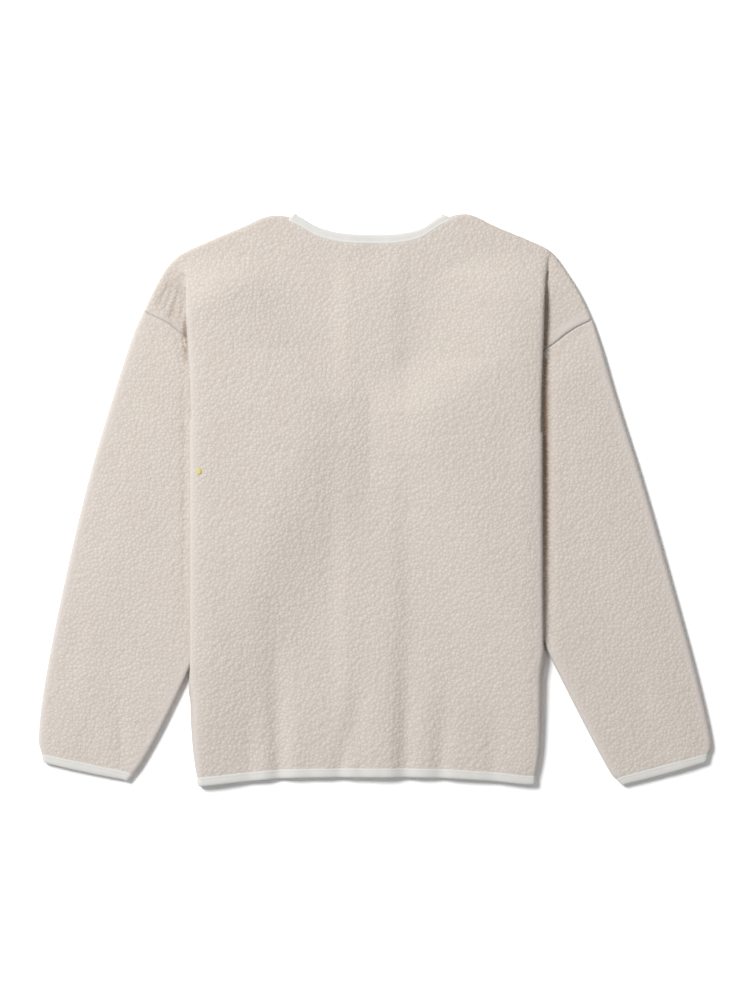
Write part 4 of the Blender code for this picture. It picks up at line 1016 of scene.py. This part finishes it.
def stitch_row(name, spots, along, up):
    """A row of short stitches, each a spindle of thread that lies along the run."""
    far = travelled_along(spots)
    count = int(far[-1] / STITCH_PITCH)
    at = (np.arange(count) + 0.5) * STITCH_PITCH
    centre, run, rise = (np.stack([np.interp(at, far, v[:, k]) for k in range(3)], axis=1)
                         for v in (spots, along, up))
    side = np.cross(run, rise)
    points, faces = [], []
    turn = 2 * math.pi * np.arange(STITCH_SIDES) / STITCH_SIDES
    for c, r, u, s in zip(centre, run, rise, side):
        first = len(points)
        for place, share in ((-0.5, 0.35), (-0.25, 1.0), (0.25, 1.0), (0.5, 0.35)):
            ring = c + r * place * STITCH_LENGTH - u * (1 - share) * STITCH_RADIUS
            for angle in turn:
                points.append(ring + STITCH_RADIUS * share * (u * math.cos(angle) + s * math.sin(angle)))
        for ring in range(3):
            for k in range(STITCH_SIDES):
                a = first + ring * STITCH_SIDES + k
                b = first + ring * STITCH_SIDES + (k + 1) % STITCH_SIDES
                faces.append((a, b, b + STITCH_SIDES, a + STITCH_SIDES))
        last = first + 3 * STITCH_SIDES
        faces.append(tuple(range(first + STITCH_SIDES - 1, first - 1, -1)))
        faces.append(tuple(range(last, last + STITCH_SIDES)))
    thing = piece(name, [tuple(p) for p in points], faces)
    thing.data.materials.append(white_thread)
    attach(thing, "root")
    return thing


def band(name, node_name, spots, across, closed=False):
    """A binding along the spots of a fleece edge, its width running across, with its stitches."""
    world = to_world(spots)
    out = settled(across * np.array([1.0, -1.0, 1.0]), closed, 6)
    if closed:
        along = np.roll(world, -1, 0) - np.roll(world, 1, 0)
    else:
        along = np.gradient(world, axis=0)
    along = settled(along / np.linalg.norm(along, axis=1)[:, None], closed, 2)
    up = np.cross(out, along)
    up = settled(up / np.linalg.norm(up, axis=1)[:, None], closed, 4)
    if up[len(up) // 2][2] < 0 and not closed or closed and up[len(up) // 4][2] < 0:
        up = -up
    outline = BAND_TOP + [BAND_FOLD] + [(reach, -lift) for reach, lift in BAND_TOP[::-1]]
    girth = travelled_along(np.array(outline))
    rings = np.stack([world + (out * reach + up * lift) * MM for reach, lift in outline], axis=1)
    rings[..., 2] = np.maximum(rings[..., 2], 0.15 * MM)
    far = travelled_along(world)
    count, sides = rings.shape[:2]
    faces = []
    for i in range(count if closed else count - 1):
        after = (i + 1) % count
        for k in range(sides):
            n = (k + 1) % sides
            faces.append((i * sides + k, i * sides + n, after * sides + n, after * sides + k))
    if not closed:
        faces.append(tuple(range(sides - 1, -1, -1)))
        faces.append(tuple(range((count - 1) * sides, count * sides)))
    thing = piece(name, rings.reshape(-1, 3).tolist(), faces)
    run = np.zeros((count, sides, 3), np.float32)
    run[..., 0] = far[:, None]
    run[..., 1] = girth * MM
    carry(thing, "run", "FLOAT_VECTOR", run)
    dress(thing, node_name, "binding", jersey)
    line = world + out * STITCH_LINE + up * STITCH_LIFT
    line[:, 2] = np.maximum(line[:, 2], 0.4 * MM)
    return thing, stitch_row(f"{name}_stitches", line, along, up)


def hem_edge():
    """The hem's fleece edge: one front, round a side fold, the back, and round again."""
    behind = back[-1][np.isfinite(back[-1, :, 0])]
    spots = np.vstack([fronts["left"][-1][::-1], behind, fronts["right"][-1]])
    return spots, np.tile([0.0, 1.0, 0.0], (len(spots), 1))


def neck_edge():
    """The neck's fleece edge: one front, round a shoulder corner, the back neck, and round again."""
    corner = FLANK + SHOULDER_COLUMNS
    top = back[ROLL, corner + 1:-corner - 1]
    top_out = top - back[ROLL + 1, corner + 1:-corner - 1]
    halves = []
    for side, column, beside in (("left", corner, corner - 1), ("right", -corner - 1, -corner)):
        rolled = back[: ROLL + 1, column]
        rolled_out = rolled - back[: ROLL + 1, beside]
        rolled_out[:, 2] = 0
        rolled_out /= np.linalg.norm(rolled_out, axis=1)[:, None]
        rolled_out += np.array([0.0, -0.5, 0.0])
        turn = SLOPE_COLUMNS + FRONT_OUTER_COLUMNS + YOKE_COLUMNS
        front = np.vstack([fronts[side][: YOKE_ROWS + 1, turn], fronts[side][YOKE_ROWS, turn + 1:]])
        front_out = inset(front[:, :2], 1.0, np.array([0.0, 0.0])) - front[:, :2]
        front_out[-1] = (0, -1)
        front_out = np.column_stack([front_out, np.zeros(len(front))])
        halves.append((np.vstack([front[::-1], rolled]), np.vstack([front_out[::-1], rolled_out])))
    top_out[:, 2] = 0
    top_out /= np.linalg.norm(top_out, axis=1)[:, None]
    left, right = halves
    return (np.vstack([left[0], top, right[0][::-1]]), np.vstack([left[1], top_out, right[1][::-1]]))


def cuff_edge(side):
    """A sleeve's last ring and the way that the sleeve runs there."""
    ring = sleeves[side][-1]
    out = ring - sleeves[side][-2]
    out[:, 2] = 0
    return ring, out / np.linalg.norm(out, axis=1)[:, None]


def front_edge_line(side):
    """A front's edge from above the neck edge to below the hem."""
    x = -SIGN[side] * FRONT_EDGE
    hem = curve(plan(HEM_LINE))
    foot = np.interp(x, hem[:, 0], hem[:, 1]) + BINDING_WIDTH
    downs = (FRONT_NECK[-1].down * MM - BINDING_WIDTH, foot)
    level = OVERLAP_LEVEL if side == "left" else LOW
    spots = spaced(np.array([[x, down, level] for down in downs]), 180)
    return spots, np.tile([-SIGN[side], 0.0, 0.0], (len(spots), 1))


neck_band = band("neck_band", "neck_binding", *neck_edge())
hem_band = band("hem_band", "hem_binding", *hem_edge())
cuff_bands = {side: band(f"cuff_band_{side}", f"cuff_binding_{side}", *cuff_edge(side), closed=True)
              for side in SIGN}
front_bands = {side: band(f"front_band_{side}", f"front_binding_{side}", *front_edge_line(side))
               for side in SIGN}

# Snaps: five closed press snaps on the front opening, stamped brass with a nickel plate.
# Each joins both fronts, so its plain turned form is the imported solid's own.
def nickel_plate():
    """Nickel-plated brass: bright and slightly warm, with fine marks from the press."""
    made, tree, shader = blank_material("nickel_plated_brass")
    place = add(tree, "ShaderNodeTexCoord").outputs["Object"]
    marks = add(tree, "ShaderNodeTexNoise", {},
                {"Vector": place, "Scale": 1 / (0.8 * MM), "Detail": 3.0})
    rough = add(tree, "ShaderNodeMapRange", {},
                {"Value": marks.outputs["Fac"], "To Min": 0.2, "To Max": 0.38})
    bump = add(tree, "ShaderNodeBump", {}, {"Height": marks.outputs["Fac"], "Strength": 0.15,
                                            "Distance": 0.05 * MM})
    tree.links.new(rough.outputs["Result"], shader.inputs["Roughness"])
    tree.links.new(bump.outputs["Normal"], shader.inputs["Normal"])
    shader.inputs["Base Color"].default_value = paint("#cfcbc2")
    shader.inputs["Metallic"].default_value = 1.0
    return made


nickel = nickel_plate()
snaps = [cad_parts[f"snap_{number}"] for number in range(1, 6)]
for snap in snaps:
    snap.data.materials.clear()
    snap.data.materials.append(nickel)

# Tack: a small round tack of yellow thread, satin stitched through the back near its left
# side fold, where the thread lies on top of the pile.
TACK = {"radius": 3.0 * MM, "threads": 9, "thread": 0.36 * MM}
yellow_thread = cotton_thread("yellow_cotton_thread", "#ddd37a")


def tack_threads():
    """Side by side strands that fill a small round, each humped over the pile."""
    low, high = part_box("yellow_tack")
    centre = np.array((low + high) / 2)
    floor_z = low.z - 0.5 * MM
    radius, strands = TACK["radius"], TACK["threads"]
    points, faces = [], []
    sides, rings = 8, 9
    for n in range(strands):
        offset = radius * (2 * (n + 0.5) / strands - 1)
        half = math.sqrt(radius**2 - offset**2)
        first = len(points)
        for r in range(rings):
            share = 2 * r / (rings - 1) - 1
            x = centre[0] + half * share
            left_over = 1 - (share * half / radius) ** 2 - (offset / radius) ** 2 * 0.4
            hump = 1.5 * MM * math.sqrt(max(0.0, left_over))
            thick = TACK["thread"] * (0.55 if r in (0, rings - 1) else 1.0)
            for k in range(sides):
                angle = 2 * math.pi * k / sides
                points.append((x, centre[1] + offset + thick * math.cos(angle),
                               floor_z + hump * 0.8 + thick * math.sin(angle)))
        for r in range(rings - 1):
            for k in range(sides):
                a, b = first + r * sides + k, first + r * sides + (k + 1) % sides
                faces.append((a, a + sides, b + sides, b))
        last = first + (rings - 1) * sides
        faces.append(tuple(range(first, first + sides)))
        faces.append(tuple(range(last + sides - 1, last - 1, -1)))
    return dress(piece("tack_threads", points, faces), "yellow_tack", "yellow_thread", yellow_thread)


tack = tack_threads()

# Floor, light and camera: a white studio table seen from straight above, with one broad
# soft light from the upper left, so a short soft shadow falls to the lower right.
CAMERA_HEIGHT = 3.01
VIEW_HEIGHT = 1.14


def plain(name, hex_colour, rough):
    """A plain matt material for the floor."""
    made, _, shader = blank_material(name)
    shader.inputs["Base Color"].default_value = paint(hex_colour)
    shader.inputs["Roughness"].default_value = rough
    shader.inputs["Specular IOR Level"].default_value = 0.0
    return made


floor_mesh = bpy.data.meshes.new("floor")
floor_mesh.from_pydata([(-6, -6, 0), (6, -6, 0), (6, 6, 0), (-6, 6, 0)], [], [(0, 1, 2, 3)])
floor_mesh.materials.append(plain("white_table", "#fdfdfd", 0.9))
floor = bpy.data.objects.new("floor", floor_mesh)
floor.location.z = -0.0002
bpy.context.scene.collection.objects.link(floor)

key = bpy.data.lights.new("softbox", "AREA")
key.shape = "DISK"
key.size = 1.7
key.energy = 258
softbox = bpy.data.objects.new("softbox", key)
softbox.location = (-2.35, 1.9, 3.75)
softbox.rotation_euler = (-softbox.location).to_track_quat("-Z", "Y").to_euler()
bpy.context.scene.collection.objects.link(softbox)

room = bpy.data.worlds.new("white_room")
room.use_nodes = True
room.node_tree.nodes["Background"].inputs["Color"].default_value = (1.0, 1.0, 1.0, 1.0)
room.node_tree.nodes["Background"].inputs["Strength"].default_value = 0.39
bpy.context.scene.world = room
bpy.context.scene.view_settings.view_transform = "Standard"

lens = bpy.data.cameras.new("camera")
lens.sensor_width = 36
lens.lens = 36 * (CAMERA_HEIGHT - 0.01) / VIEW_HEIGHT
camera = bpy.data.objects.new("camera", lens)
camera.location = (0.0002, -0.0002, CAMERA_HEIGHT)
bpy.context.scene.collection.objects.link(camera)
bpy.context.scene.camera = camera
